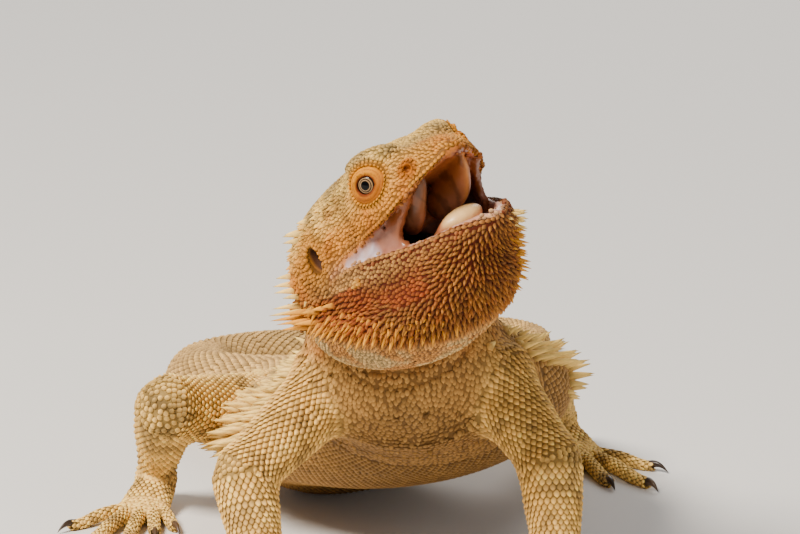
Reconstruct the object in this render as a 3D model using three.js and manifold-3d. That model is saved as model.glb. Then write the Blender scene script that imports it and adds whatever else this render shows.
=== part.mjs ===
// A bearded dragon (Pogona vitticeps), adult and life size, standing tall on its forelegs with the
// rear of the belly on the ground, the head raised and turned to its left, and the mouth open.
//
// Millimetres, +Z up. The animal faces -Y, its right side is at -X, and the ground is z = 0.
// Each named mesh is one closed solid. Flesh that meets flesh keeps a gap of GAP between the two.

import * as THREE from "three";
import { mergeVertices } from "three/addons/utils/BufferGeometryUtils.js";
import Module from "manifold-3d";

const wasm = await Module();
wasm.setup();

// ---------------------------------------------------------------- driving dimensions

const GAP = 0.3; // between two solids that touch in life
const MIDDLE = [-7.1, 99.43]; // the middle of the animal's box, which becomes the part's origin
const FAR = 700; // side of the boxes that stand for half of space

// The head's own frame: forward along the lip line, left, and up through the crown. Its origin lies on
// the midline between the ears, at the height of the lips.
const HEAD_AT = new THREE.Vector3(-3.5, 5.7, 77);
const HEAD_FORWARD = new THREE.Vector3(0.404, -0.696, 0.594);
const HEAD_UP = new THREE.Vector3(-0.553, 0.333, 0.765);

const GAPE = THREE.MathUtils.degToRad(12); // how far the lower jaw hangs from the upper one
const JAW_HINGE = new THREE.Vector3(-1, 0, -3.5); // in the head's frame
const MOUTH_CORNER = new THREE.Vector3(8.6, 0, -1.4); // where the lips meet, in the head's frame
const MOUTH_TILT = THREE.MathUtils.degToRad(3); // how far the middle of the gape points below forward

const EYE_AT = new THREE.Vector3(25, 9.7, 8.7); // left eye, in the head's frame
const EYE_RADIUS = 4;
const EYE_TURN = 28; // how far the eyes look forward of straight out, in degrees
const EAR_AT = new THREE.Vector3(3.8, 19.2, 4);
const NOSTRIL_AT = new THREE.Vector3(35, 7.3, 6.2);

// Limb joints in the body's frame: shoulder, elbow and wrist, or hip, knee and ankle. The heading is where
// the toes point, in degrees from -Y, and `outward` is the side of the outer toes: 1 for +X, -1 for -X.
const RIGHT_ARM = { joints: [[-16, 17, 43], [-32.7, 5, 28.5], [-28, -6, 7.5]], heading: -12, outward: -1 };
const LEFT_ARM = { joints: [[20, 18, 45], [31.5, 8, 30.5], [33, -2, 7.5]], heading: 14, outward: 1 };
const RIGHT_LEG = { joints: [[-22, 95, 17], [-51, 67, 26.5], [-54, 82, 7.5]], heading: -12, outward: -1 };
const LEFT_LEG = { joints: [[0, 106, 17], [31, 99, 24], [36, 126, 8.5]], heading: 22, outward: 1 };

// ---------------------------------------------------------------- solids

// A closed three.js geometry as a manifold-3d solid.
function toSolid(geometry) {
  const g = geometry.clone();
  g.deleteAttribute("normal");
  g.deleteAttribute("uv");
  const merged = mergeVertices(g, 1e-4);
  return new wasm.Manifold(
    new wasm.Mesh({
      numProp: 3,
      vertProperties: new Float32Array(merged.attributes.position.array),
      triVerts: new Uint32Array(merged.index.array),
    }),
  );
}

function toGeometry(solid) {
  const m = solid.getMesh();
  const g = new THREE.BufferGeometry();
  g.setAttribute("position", new THREE.BufferAttribute(m.vertProperties, 3));
  g.setIndex(new THREE.BufferAttribute(m.triVerts, 1));
  g.computeVertexNormals();
  return g;
}

const join = (solids) => solids.reduce((all, s) => all.add(s));

// The half of space on the side of `point` that `direction` points to, shifted along it by half a gap.
function halfSpace(point, direction) {
  const d = new THREE.Vector3(...direction).normalize();
  const box = new THREE.BoxGeometry(FAR, FAR, FAR);
  box.translate(0, 0, FAR / 2 + GAP / 2);
  box.applyQuaternion(new THREE.Quaternion().setFromUnitVectors(new THREE.Vector3(0, 0, 1), d));
  box.translate(...point);
  return toSolid(box);
}

// Both parts of a solid cut across at `point`: the one that `direction` points to comes first.
function cutAcross(solid, point, direction) {
  const back = direction.map((x) => -x);
  return [solid.intersect(halfSpace(point, direction)), solid.intersect(halfSpace(point, back))];
}

// What of a solid is above the ground.
function onGround(solid) {
  const box = new THREE.BoxGeometry(FAR, FAR, FAR).translate(0, 0, FAR / 2);
  return solid.intersect(toSolid(box));
}

// The largest body of a solid: a cut can leave slivers beside it.
function mainBody(solid) {
  return solid.decompose().sort((a, b) => b.volume() - a.volume())[0];
}

// The frame of a tube at t from 0 to 1. Its stations are [x, y, z, half width, height above, height
// below], and `up` points to the top of its sections.
function frameOf(stations, up = [0, 0, 1]) {
  const centre = new THREE.CatmullRomCurve3(stations.map((s) => new THREE.Vector3(s[0], s[1], s[2])));
  const sizes = stations.map((s) => new THREE.Vector3(s[3], s[4], s[5]));
  const size = new THREE.CatmullRomCurve3(sizes);
  size.curveType = "catmullrom";
  const top = new THREE.Vector3(...up);
  return (t) => {
    const along = centre.getTangent(t);
    const side = along.clone().cross(top).normalize();
    const normal = side.clone().cross(along);
    return { at: centre.getPoint(t), along, side, normal, size: size.getPoint(t) };
  };
}

const TUBE_DEFAULTS = { sides: 14, steps: 12, up: [0, 0, 1], ends: 14, grow: 0, from: 0, to: 1 };

// A closed tube through stations. `ends` sets how short its round ends are (0 leaves them square), `grow`
// makes it fatter, and `from` and `to` keep only a length of it.
function tube(stations, options) {
  const { sides, steps, up, ends, grow, from, to } = { ...TUBE_DEFAULTS, ...options };
  const frame = frameOf(stations, up);
  const g = new THREE.CylinderGeometry(1, 1, 1, sides, steps);
  const p = g.attributes.position;
  for (let i = 0; i < p.count; i++) {
    const along = 0.5 - 0.5 * Math.cos(Math.PI * (p.getY(i) + 0.5));
    const share = 0.75 * (p.getY(i) + 0.5) + 0.25 * along; // rings lie a little closer at both ends
    const t = from + (to - from) * share;
    const { at, side, normal, size } = frame(t);
    const round = ends ? Math.sqrt(Math.max(0.03, 1 - Math.abs(2 * t - 1) ** ends)) : 1;
    const [x, z] = [p.getX(i) * round, p.getZ(i) * round];
    at.addScaledVector(side, x * (size.x + grow));
    at.addScaledVector(normal, z * ((z > 0 ? size.y : size.z) + grow));
    p.setXYZ(i, at.x, at.y, at.z);
  }
  return toSolid(g);
}

// An ellipsoid with radii [rx, ry, rz], turned by Euler angles in degrees.
function ellipsoid(at, radii, turn = [0, 0, 0], detail = 12) {
  const g = new THREE.SphereGeometry(1, detail, Math.round(detail * 0.7));
  g.scale(...radii);
  const q = new THREE.Quaternion().setFromEuler(new THREE.Euler(...turn.map(THREE.MathUtils.degToRad)));
  g.applyQuaternion(q);
  g.translate(...at);
  return toSolid(g);
}

// A spine from `root` along `direction`, sunk a little into what it grows from.
function spine(root, direction, length, radius, sides = 3) {
  const g = new THREE.ConeGeometry(radius, length * 1.35, sides);
  g.translate(0, length * 0.325, 0);
  const d = direction.clone().normalize();
  g.applyQuaternion(new THREE.Quaternion().setFromUnitVectors(new THREE.Vector3(0, 1, 0), d));
  g.translate(root.x, root.y, root.z);
  return toSolid(g);
}

// ---------------------------------------------------------------- head and jaw, in the head's frame

const headMatrix = (() => {
  const f = HEAD_FORWARD.clone().normalize();
  const left = HEAD_UP.clone().cross(f).normalize();
  const up = f.clone().cross(left);
  return new THREE.Matrix4().makeBasis(f, left, up).setPosition(HEAD_AT);
})();

const jawMatrix = new THREE.Matrix4()
  .makeTranslation(JAW_HINGE)
  .multiply(new THREE.Matrix4().makeRotationY(GAPE))
  .multiply(new THREE.Matrix4().makeTranslation(JAW_HINGE.clone().negate()));

const placed = (solid, matrix) => solid.transform(matrix.toArray());

// Sections of the upper head: [forward, half width, top, lip height, brow bump, arch of the palate].
const HEAD_SECTIONS = [
  [-13, 16.5, 11, -7, 0, 0],
  [-8, 20, 14, -6, 0, 0],
  [-1, 20.8, 15.8, -3.8, 0, 0],
  [6, 19, 16.4, -1.7, 0, 0.5],
  [11, 17.2, 16.4, -0.7, 0.1, 2.2],
  [16, 15.8, 16.1, -0.6, 0.4, 3.8],
  [21, 15.6, 15.7, -0.6, 0.6, 4.6],
  [26, 14.8, 14, -0.5, 0.6, 4.6],
  [31, 12.3, 11.6, 0.5, 0.3, 4],
  [35.5, 9.1, 9.8, 1.6, 0, 3],
  [39, 5.6, 8.2, 2.4, 0, 1.6],
  [41.2, 2.8, 6.6, 3.1, 0, 0.5],
  [42, 1, 5.2, 3.8, 0, 0.2],
];

// Sections of the lower jaw before it opens: [forward, half width, rim height, depth, mouth floor].
const JAW_SECTIONS = [
  [-8, 16.5, -4.5, 10.5, 0],
  [0, 18.8, -1.4, 14, 0],
  [8, 18.2, 0.6, 15, 1.4],
  [15, 16.8, 0.8, 15, 3],
  [22, 15, 0.2, 14, 3],
  [29, 12, -0.7, 11.4, 2.6],
  [35, 8.6, -0.8, 8.5, 2],
  [39, 5.6, -1.4, 6, 1.2],
  [41.2, 3.2, -2.1, 3.8, 0.5],
  [42.2, 1.2, -3, 1.6, 0.2],
];

// A closed solid through the sections. `outline` gives [left, up] for a section and an angle round it.
function sectioned(sections, outline, sides, steps) {
  const n = sections.length - 1;
  const at = (column, t) => {
    const i = Math.min(n - 1, Math.floor(t * n));
    const [a, b] = [sections[i], sections[i + 1]];
    const before = sections[Math.max(0, i - 1)][column];
    const after = sections[Math.min(n, i + 2)][column];
    const u = t * n - i;
    const [p, q] = [a[column], b[column]];
    const [m, k] = [(q - before) / 2, (after - p) / 2];
    return p * (1 - 3 * u ** 2 + 2 * u ** 3) + q * (3 * u ** 2 - 2 * u ** 3)
      + m * (u - 2 * u ** 2 + u ** 3) + k * (u ** 3 - u ** 2);
  };
  const g = new THREE.CylinderGeometry(1, 1, 1, sides, steps);
  const p = g.attributes.position;
  for (let i = 0; i < p.count; i++) {
    const t = p.getY(i) + 0.5;
    const row = sections[0].map((_, column) => at(column, t));
    const [left, up] = outline(row, Math.atan2(p.getZ(i), p.getX(i)));
    const over = outline(row, Math.PI / 2);
    const under = outline(row, -Math.PI / 2);
    const middleLeft = (over[0] + under[0]) / 2;
    const middleUp = (over[1] + under[1]) / 2;
    const r = Math.hypot(p.getX(i), p.getZ(i));
    // The cylinder's x, y, z become right, forward and up, which keeps the faces pointing out.
    p.setXYZ(i, row[0], -(middleLeft + (left - middleLeft) * r), middleUp + (up - middleUp) * r);
  }
  return toSolid(g);
}

const squared = (x, power) => Math.sign(x) * Math.abs(x) ** power;

function upperOutline([forward, half, top, lip, brow, arch], angle) {
  const [c, s] = [Math.cos(angle), Math.sin(angle)];
  if (s < 0) return [half * c, lip + arch * (1 - Math.abs(c) ** 3)];
  const taper = 0.14 + 0.24 * THREE.MathUtils.smoothstep(forward, 28, 40);
  const left = half * squared(c, 0.62) * (1 - taper * s ** 2);
  const ridge = brow * Math.exp(-(((Math.abs(left) - half * 0.72) / 3) ** 2)) * s;
  return [left, lip + (top - lip) * squared(s, 0.7) + ridge];
}

function lowerOutline([, half, rim, depth, floor], angle) {
  const [c, s] = [Math.cos(angle), Math.sin(angle)];
  const left = half * squared(c, 0.8);
  if (s > 0) return [left, rim - floor * (1 - Math.abs(c) ** 3)];
  return [left * (1 + 0.2 * Math.sqrt(-s)), rim - depth * squared(-s, 0.8)];
}

// The throat pouch that hangs from the lower jaw, in the opened jaw's frame.
const BEARD = [
  [38, -0.4, -4, 7.2, 3, 4.5],
  [31, -1.2, -7.5, 11.6, 5, 9],
  [23, -2, -10.5, 15, 7, 11.6],
  [13, -2.8, -12, 18, 8, 13.6],
  [3, -2.8, -11, 19.6, 9, 14.4],
  [-7, -2, -8.5, 20, 10, 13.5],
  [-14, -1, -6, 17, 9, 10],
];

// ---------------------------------------------------------------- trunk, neck and tail

const TRUNK = [
  [1, 4, 46, 15, 8, 12],
  [1, 13, 47, 21.5, 11, 16.5],
  [3, 26, 45, 26, 13.5, 18.5],
  [5, 40, 37.5, 31, 16, 18.5],
  [3.5, 55, 30, 35, 18, 17.5],
  [-1, 70, 24.5, 37, 17.8, 15.5],
  [-6, 84, 20, 35, 17, 15],
  [-11, 96, 17.5, 28, 15.5, 18.6],
  [-16, 107, 15.5, 20.5, 13.8, 17.2],
  [-21, 117, 13, 12.5, 10.8, 12.6],
];
const TRUNK_UP = [-0.1, 0, 1]; // the animal leans a little on its right side

const NECK = [
  [-9, 15, 75, 16, 12, 12],
  [-5, 17, 67, 17.5, 13, 14],
  [-1, 20, 58, 20, 13, 15],
  [1, 25, 48, 21, 12, 14],
];

const TAIL = [
  [-15, 106, 15.5, 19, 13, 15],
  [-24, 120, 12.5, 14, 11.5, 13],
  [-35, 133, 10.8, 11, 10, 11.5],
  [-45, 148, 9.2, 9.2, 8.9, 9.8],
  [-45, 165, 8, 8.2, 8, 8.5],
  [-33, 181, 7, 7.2, 7, 7.4],
  [-12, 191, 6, 6.2, 6, 6.4],
  [10, 194, 5.1, 5.2, 5.1, 5.4],
  [27, 200, 4.3, 4.4, 4.3, 4.6],
  [33, 213, 3.6, 3.6, 3.5, 3.9],
  [26, 226, 3, 2.9, 2.9, 3.3],
  [10, 232, 2.3, 2.2, 2.2, 2.6],
  [-8, 231, 1.7, 1.5, 1.5, 2],
  [-24, 226, 1.1, 0.8, 0.8, 1.4],
];

const TAIL_CUTS = [0.3, 0.52, 0.76]; // where the tail is parted, as shares of its length
const TAIL_GAP = 0.0013;

const trunkShape = (grow) => tube(TRUNK, { sides: 15, steps: 11, up: TRUNK_UP, ends: 8, grow });
const neckShape = (grow) => tube(NECK, { sides: 12, steps: 5, up: [0, 1, 0.3], ends: 20, grow });
const tailShape = (from, to, grow = 0) => {
  const steps = Math.round(22 * (to - from));
  return tube(TAIL, { sides: 8, steps, ends: 30, grow, from, to });
};

// ---------------------------------------------------------------- limbs

// Stations of one limb segment: [share of the way, half width, half depth].
function segment(from, to, shape) {
  const [a, b] = [new THREE.Vector3(...from), new THREE.Vector3(...to)];
  return shape.map(([share, half, deep]) => [...a.clone().lerp(b, share).toArray(), half, deep, deep]);
}

// The two segments of a limb, the radius of the joint between them, the length and width of its sole, and
// its digits from the inner one out: [length, angle from the limb's heading (outward), radius].
const ARM_SHAPE = {
  upper: [[-0.1, 8.2, 8.8], [0.4, 7.6, 7.6], [1, 6.4, 6.4]],
  knob: 6.6,
  lower: [[0, 6.2, 6.2], [0.25, 6.6, 6.4], [0.65, 5.4, 5.2], [1, 4.3, 3.9]],
  length: 9,
  width: 11,
  digits: [[11, -38, 1.7], [16, -18, 1.8], [18.5, 2, 1.8], [17.5, 22, 1.8], [11.5, 52, 1.6]],
};
const LEG_SHAPE = {
  upper: [[-0.1, 10, 10], [0.4, 9, 8.8], [1, 6.8, 6.8]],
  knob: 7,
  lower: [[0, 6.4, 6.4], [0.3, 6.8, 6.4], [0.65, 5.4, 5.2], [1, 4.3, 4]],
  length: 15,
  width: 11.5,
  digits: [[10, -30, 1.7], [15, -16, 1.8], [20.5, -4, 1.9], [25.5, 9, 1.9], [15, 36, 1.6]],
};
const CLAW = 4.5;

// A hand or a foot on the ground, whole, and the places where its claws are parted from it.
function paw(ankle, heading, outward, { length, width, digits }) {
  const turn = (degrees) => {
    const a = THREE.MathUtils.degToRad(degrees);
    return new THREE.Vector3(Math.sin(a), -Math.cos(a), 0);
  };
  const ahead = turn(heading);
  const base = new THREE.Vector3(ankle[0], ankle[1], 0);
  const row = (share, half, z, deep) => {
    const p = base.clone().addScaledVector(ahead, length * share);
    return [p.x, p.y, z, half, deep, deep];
  };
  const rows = [
    row(-0.25, width * 0.36, 4.2, 4.6),
    row(0.3, width * 0.44, 3.6, 4.4),
    row(0.75, width * 0.5, 2.3, 3.1),
    row(1.15, width * 0.42, 1.5, 2.2),
  ];
  const sole = tube(rows, { sides: 6, steps: 3, ends: 6 });
  const claws = [];
  const toes = digits.map(([long, spread, r], k) => {
    const d = turn(heading + outward * spread);
    const across = new THREE.Vector3(-ahead.y, ahead.x, 0).multiplyScalar(outward);
    const root = base.clone().addScaledVector(ahead, length * 0.8);
    root.addScaledVector(across, (k - 2) * width * 0.19);
    const station = (s, z, half, high) => {
      const p = root.clone().addScaledVector(d, s);
      return [p.x, p.y, z, half, high, high];
    };
    const toe = [
      station(-3, 2, r, r),
      station(long * 0.45, 2, r * 0.86, r),
      station(long * 0.8, 1.1, r * 0.86, r * 0.9),
      station(long, 1.3, r * 0.66, r * 0.8),
    ];
    const claw = [
      station(long + GAP, 1.5, r * 0.6, r * 0.7),
      station(long + CLAW * 0.6, 1.3, r * 0.34, r * 0.5),
      station(long + CLAW, 0.5, 0.25, 0.3),
    ];
    claws.push(onGround(tube(claw, { sides: 5, steps: 2, ends: 0 })));
    return tube(toe, { sides: 5, steps: 2, ends: 0 });
  });
  return { solid: onGround(join([sole, ...toes])), claws };
}

// All the nodes of one limb, clear of `body`.
function limb(names, { joints, heading, outward }, shape, body) {
  const [root, middle, end] = joints;
  const along = (a, b) => b.map((x, i) => x - a[i]);
  const upperLooks = { sides: 8, steps: 2, up: [0, -0.6, 1], ends: 0 };
  const lowerLooks = { sides: 8, steps: 3, up: [0, -1, 0.3], ends: 0 };
  const upperTube = tube(segment(root, middle, shape.upper), upperLooks);
  const lowerTube = tube(segment(middle, end, shape.lower), lowerLooks);
  const knob = ellipsoid(middle, Array(3).fill(shape.knob), [0, 0, 0], 7);
  const { solid: foot, claws } = paw(end, heading, outward, shape);
  const joint = ellipsoid([end[0], end[1], end[2] - 1], [4.4, 4.6, 4.6], [0, 0, 0], 6);
  const out = {};
  claws.forEach((claw, k) => {
    out[`${names.claw}_${k + 1}`] = claw;
  });
  const rest = mainBody(onGround(join([upperTube, lowerTube, knob, joint, foot])).subtract(body));
  const wrist = [end[0], end[1], end[2] + 2];
  const elbowWay = along(root, end);
  const [beyondElbow, upper] = cutAcross(rest, middle, elbowWay);
  const [paws, lower] = cutAcross(beyondElbow, wrist, [0, 0, -1]);
  out[names.upper] = mainBody(upper);
  out[names.lower] = mainBody(lower);
  out[names.paw] = mainBody(paws);
  return out;
}

// ---------------------------------------------------------------- spines

// A row of spines on a tube: `at` gives [t, angle] for each, the angle measured from the right side
// over the top. They lean back along the tube by `lean`.
function spineRow(stations, spots, { up, length, radius, lean = 0.6, way = 1 } = {}) {
  const frame = frameOf(stations, up);
  return spots.map(([t, degrees, share = 1]) => {
    const a = THREE.MathUtils.degToRad(degrees);
    const { at, along, side, normal, size } = frame(t);
    const high = Math.sin(a) > 0 ? size.y : size.z;
    const out = side.clone().multiplyScalar(Math.cos(a)).addScaledVector(normal, Math.sin(a));
    at.addScaledVector(side, Math.cos(a) * size.x * 0.985);
    at.addScaledVector(normal, Math.sin(a) * high * 0.985);
    return spine(at, out.addScaledVector(along, lean * way), length * share, radius);
  });
}

const spread = (count, from, to) =>
  [...Array(count)].map((_, i) => from + ((to - from) * i) / (count - 1));

// The fringe along both flanks: two rows on each side, longest at the middle of the trunk.
const flankSpines = (grow) => [0, 180].flatMap((side) => {
  const tilt = side === 0 ? -1 : 1;
  const swell = (t) => 0.7 + 0.3 * Math.sin(Math.PI * t);
  const upper = spread(11, 0.22, 0.78).map((t) => [t, side - tilt * 2, swell(t)]);
  const lower = spread(9, 0.25, 0.75).map((t) => [t, side + tilt * 9, 0.8 * swell(t)]);
  const looks = { up: TRUNK_UP, length: 7.2 + grow, radius: 1.3 + grow, lean: 0.35 };
  return spineRow(TRUNK, [...upper, ...lower], looks);
});

// Rows of spines over the throat pouch, which point back and away from it.
const beardSpines = (() => {
  const rows = [0.2, 0.34, 0.48, 0.62, 0.76];
  const share = (degrees) => 0.7 + 0.3 * Math.abs(Math.cos(THREE.MathUtils.degToRad(degrees)));
  const spots = rows.flatMap((t, row) =>
    spread(7, -172, -8).map((a, i) => [t + (i % 2) * 0.05, a + row, share(a)]));
  return spineRow(BEARD, spots, { length: 4, radius: 1.1, lean: 0.9 });
})();

// The long spines at the angle of the jaw and behind the ear: [forward, left, up, length].
const CHEEK_SPINES = [
  [3.2, 19.2, -5.2, 6],
  [1.2, 19.6, -4.2, 7.2],
  [-1.2, 19.8, -3.4, 7.8],
  [-1, 20, -5.6, 7],
  [-3.6, 19.6, -2.8, 5],
  [-4.6, 18.8, 1.6, 4],
  [-4.4, 17.6, 7.4, 4],
  [-3.8, 16, 10, 3.8],
  [-0.6, 12.6, 13.8, 3.2],
];
const cheekSpines = [-1, 1].flatMap((s) => CHEEK_SPINES.map(([f, l, u, length]) =>
  spine(new THREE.Vector3(f, s * l, u), new THREE.Vector3(-0.8, s * 0.55, 0.3), length, 1.1)));

// ---------------------------------------------------------------- the head's parts

const upperHead = sectioned(HEAD_SECTIONS, upperOutline, 16, 12);
const lowerHead = sectioned(JAW_SECTIONS, lowerOutline, 12, 9);
const throat = tube(BEARD, { sides: 12, steps: 6, ends: 5 });

// The cheeks behind the mouth's corners join both jaws.
const cheeks = [-1, 1].map((s) => ellipsoid([1.5, s * 10.6, -4], [8.5, 7.8, 8], [0, 0, 0], 7));

// The ridges over the eyes; the right one is raised.
const browRidges = [[-1, 12.9], [1, 11.7]].map(([s, up]) =>
  ellipsoid([27, s * 8.5, up], [6.6, 3.4, 2.7], [0, 14, s * -27], 7));

// A point `shift` out from an eye's middle, the way that it looks.
const gaze = THREE.MathUtils.degToRad(EYE_TURN);
const eyeAt = (s, shift = 0) => [
  EYE_AT.x + shift * Math.sin(gaze),
  s * (EYE_AT.y + shift * Math.cos(gaze)),
  EYE_AT.z,
];
const lidTurn = (s) => [0, 0, s * -EYE_TURN];
const eyeRims = [-1, 1].map((s) => ellipsoid(eyeAt(s, 1.3), [4.8, 3.3, 5], lidTurn(s), 8));
const eyeHoles = [-1, 1].map((s) => ellipsoid(eyeAt(s, 2.6), [2.2, 5, 1.9], lidTurn(s), 7));
const eyeSockets = [-1, 1].map((s) => ellipsoid(eyeAt(s), Array(3).fill(EYE_RADIUS + 0.45), [0, 0, 0], 8));
const eyes = [-1, 1].map((s) => ellipsoid(eyeAt(s), Array(3).fill(EYE_RADIUS), [0, 0, 0], 9));

const earHoles = [-1, 1].map((s) =>
  ellipsoid([EAR_AT.x, s * EAR_AT.y, EAR_AT.z], [1.9, 3.4, 3.1], [0, 0, 0], 7));
const nostrils = [-1, 1].map((s) =>
  ellipsoid([NOSTRIL_AT.x + 0.2, s * (NOSTRIL_AT.y + 1), NOSTRIL_AT.z], [1, 1.6, 0.9], [0, 0, 0], 5));

// The tongue lies on the floor of the mouth, with its round tip free.
const TONGUE = [
  [6, 0, -5.8, 5, 1.2, 2.2],
  [14, 0, -5, 5.6, 1.5, 2],
  [21, 0, -3.8, 5.8, 1.9, 2.2],
  [26, 0, -2.2, 5.8, 2.3, 2.8],
  [30.5, 0, -0.6, 5.6, 2.7, 3],
  [34.8, 0, -0.6, 4.6, 2.3, 2.4],
];
const tongueShape = (grow) => placed(tube(TONGUE, { sides: 8, steps: 5, ends: 8, grow }), jawMatrix);

// ---------------------------------------------------------------- the animal

const parts = {};

const opened = placed(join([lowerHead, throat, ...beardSpines]), jawMatrix);
const skullOuter = join([upperHead, ...browRidges, ...eyeRims, ...cheeks, ...cheekSpines]);
const skull = skullOuter.subtract(join([...earHoles, ...nostrils]));
const front = placed(join([skull, opened]), headMatrix);
const trunk = onGround(join([trunkShape(0), ...flankSpines(0)]));
const core = join([trunk, neckShape(0), onGround(tailShape(0, TAIL_CUTS[0]))]);

const intoWorld = (v) => new THREE.Vector3(...v).applyMatrix4(headMatrix);
const wayInWorld = (v) => new THREE.Vector3(...v).transformDirection(headMatrix).toArray();

// The head and the pouch are parted from the neck by a cut behind the jaw's hinge.
const NECK_CUT = intoWorld([-8.5, 0, 0]).toArray();
const [ahead, nape] = cutAcross(join([front, core]), NECK_CUT, wayInWorld([1, 0, 0]));

const MOUTH_CUT = intoWorld(MOUTH_CORNER.toArray()).toArray();
const mouthWay = wayInWorld([Math.sin(MOUTH_TILT), 0, Math.cos(MOUTH_TILT)]);
const [headPart, jawPart] = cutAcross(ahead, MOUTH_CUT, mouthWay);
const jawWay = new THREE.Vector3(0, 0, -1).transformDirection(jawMatrix);
const jawFloor = intoWorld(new THREE.Vector3(0, 0, -9.5).applyMatrix4(jawMatrix).toArray()).toArray();
const [beardPart, chinPart] = cutAcross(jawPart, jawFloor, wayInWorld(jawWay.toArray()));

const inHead = (solids) => placed(join(solids), headMatrix);
parts.head = mainBody(headPart.subtract(inHead([...eyeSockets, ...eyeHoles])));
parts.lower_jaw = mainBody(chinPart.subtract(inHead([tongueShape(GAP)])));
parts.beard = mainBody(beardPart);
parts.tongue = inHead([tongueShape(0)]);
parts.eye_right = placed(eyes[0], headMatrix);
parts.eye_left = placed(eyes[1], headMatrix);

const tailBase = tailShape(0, TAIL_CUTS[0], GAP);
const clear = join([trunkShape(GAP), neckShape(GAP), tailBase, ...flankSpines(GAP)]);
const [neckPart, bodyPart] = cutAcross(nape, [0, 21, 57], [-0.1, -0.35, 1]);
const [rear, chest] = cutAcross(bodyPart, [0, 42, 37], [-0.1, 1, -0.4]);
const [pelvis, belly] = cutAcross(rear, [-5, 78, 22], [-0.3, 1, -0.3]);
parts.neck = mainBody(neckPart);
parts.chest = mainBody(chest);
parts.belly = mainBody(belly);

const [tailRoot, rump] = cutAcross(pelvis, [-20, 116, 13], [-0.6, 0.8, -0.1]);
parts.pelvis = mainBody(rump);
parts.tail_1 = mainBody(tailRoot);
TAIL_CUTS.forEach((from, i) => {
  const to = TAIL_CUTS[i + 1] ?? 1;
  parts[`tail_${i + 2}`] = onGround(tailShape(from + TAIL_GAP, to));
});

const armNames = (side) => ({
  upper: `upper_arm_${side}`,
  lower: `forearm_${side}`,
  paw: `hand_${side}`,
  claw: `finger_claw_${side}`,
});
const legNames = (side) => ({
  upper: `thigh_${side}`,
  lower: `shank_${side}`,
  paw: `foot_${side}`,
  claw: `toe_claw_${side}`,
});
Object.assign(parts, limb(armNames("right"), RIGHT_ARM, ARM_SHAPE, clear));
Object.assign(parts, limb(armNames("left"), LEFT_ARM, ARM_SHAPE, clear));
Object.assign(parts, limb(legNames("right"), RIGHT_LEG, LEG_SHAPE, clear));
Object.assign(parts, limb(legNames("left"), LEFT_LEG, LEG_SHAPE, clear));

// ---------------------------------------------------------------- colours

const COLOURS = {
  hide: { color: 0xb79c78, roughness: 0.7, metalness: 0 },
  mouth: { color: 0xcdb3a6, roughness: 0.35, metalness: 0 },
  eye: { color: 0x4a3a2c, roughness: 0.12, metalness: 0 },
  claw: { color: 0x2e2620, roughness: 0.4, metalness: 0 },
};

function slotOf(name) {
  if (name.includes("claw")) return "claw";
  if (name.startsWith("eye")) return "eye";
  if (name === "tongue") return "mouth";
  return "hide";
}

const body = new THREE.Group();
for (const [name, solid] of Object.entries(parts)) {
  const mesh = new THREE.Mesh(toGeometry(solid), new THREE.MeshStandardMaterial(COLOURS[slotOf(name)]));
  mesh.name = name;
  body.add(mesh);
}
body.position.set(-MIDDLE[0], -MIDDLE[1], 0);

export default new THREE.Group().add(body);
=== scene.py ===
"""A bearded dragon (Pogona vitticeps), adult and life size: skin, scales, spines, eyes, mouth and claws.

The animal's shape comes from the same named stations as the solids, apart from the tongue's tip. The folds
and sheets of skin in the mouth are only here. Lengths are in millimetres in the body's frame until meshes
are made, which are in metres in the part's frame.
"""

import math

import bmesh
import bpy
import numpy as np
from mathutils import Matrix, Vector, kdtree


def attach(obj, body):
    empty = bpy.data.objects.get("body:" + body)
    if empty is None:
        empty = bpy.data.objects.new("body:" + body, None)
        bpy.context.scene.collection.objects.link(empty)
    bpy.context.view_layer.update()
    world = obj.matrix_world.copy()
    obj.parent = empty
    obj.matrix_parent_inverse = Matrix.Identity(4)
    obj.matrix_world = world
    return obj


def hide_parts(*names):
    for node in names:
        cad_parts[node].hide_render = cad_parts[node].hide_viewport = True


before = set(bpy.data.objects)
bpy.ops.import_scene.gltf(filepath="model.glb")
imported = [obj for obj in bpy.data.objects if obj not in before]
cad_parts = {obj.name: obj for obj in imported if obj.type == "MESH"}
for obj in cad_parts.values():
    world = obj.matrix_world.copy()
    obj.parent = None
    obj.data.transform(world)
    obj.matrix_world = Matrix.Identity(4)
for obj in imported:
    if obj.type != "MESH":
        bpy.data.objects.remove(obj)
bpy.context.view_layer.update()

# ---------------------------------------------------------------- dimensions of the body

MIDDLE = np.array([-7.1, 99.43, 0.0])
HEAD_AT = np.array([-3.5, 5.7, 77.0])
HEAD_FORWARD = np.array([0.404, -0.696, 0.594])
HEAD_UP = np.array([-0.553, 0.333, 0.765])
GAPE = math.radians(12)
JAW_HINGE = np.array([-1.0, 0.0, -3.5])
EYE_AT = np.array([25.0, 9.7, 8.7])
EYE_RADIUS = 4.0
EYE_DEGREES = 28
EYE_TURN = math.radians(EYE_DEGREES)
LID_OPENING = (2.1, 1.8)
EAR_AT = np.array([3.8, 19.2, 4.0])
EAR_OPENING = (1.7, 2.7)
NOSTRIL_AT = np.array([35.0, 7.3, 6.2])
NOSE_DEGREES = 30
CLAW = 4.5  # how far a claw reaches beyond its toe
CLAW_ROOT = 1.2  # how much of it is inside

RIGHT_ARM = {"joints": [(-16, 17, 43), (-32.7, 5, 28.5), (-28, -6, 7.5)], "heading": -12, "outward": -1}
LEFT_ARM = {"joints": [(20, 18, 45), (31.5, 8, 30.5), (33, -2, 7.5)], "heading": 14, "outward": 1}
RIGHT_LEG = {"joints": [(-22, 95, 17), (-51, 67, 26.5), (-54, 82, 7.5)], "heading": -12, "outward": -1}
LEFT_LEG = {"joints": [(0, 106, 17), (31, 99, 24), (36, 126, 8.5)], "heading": 22, "outward": 1}

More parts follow.
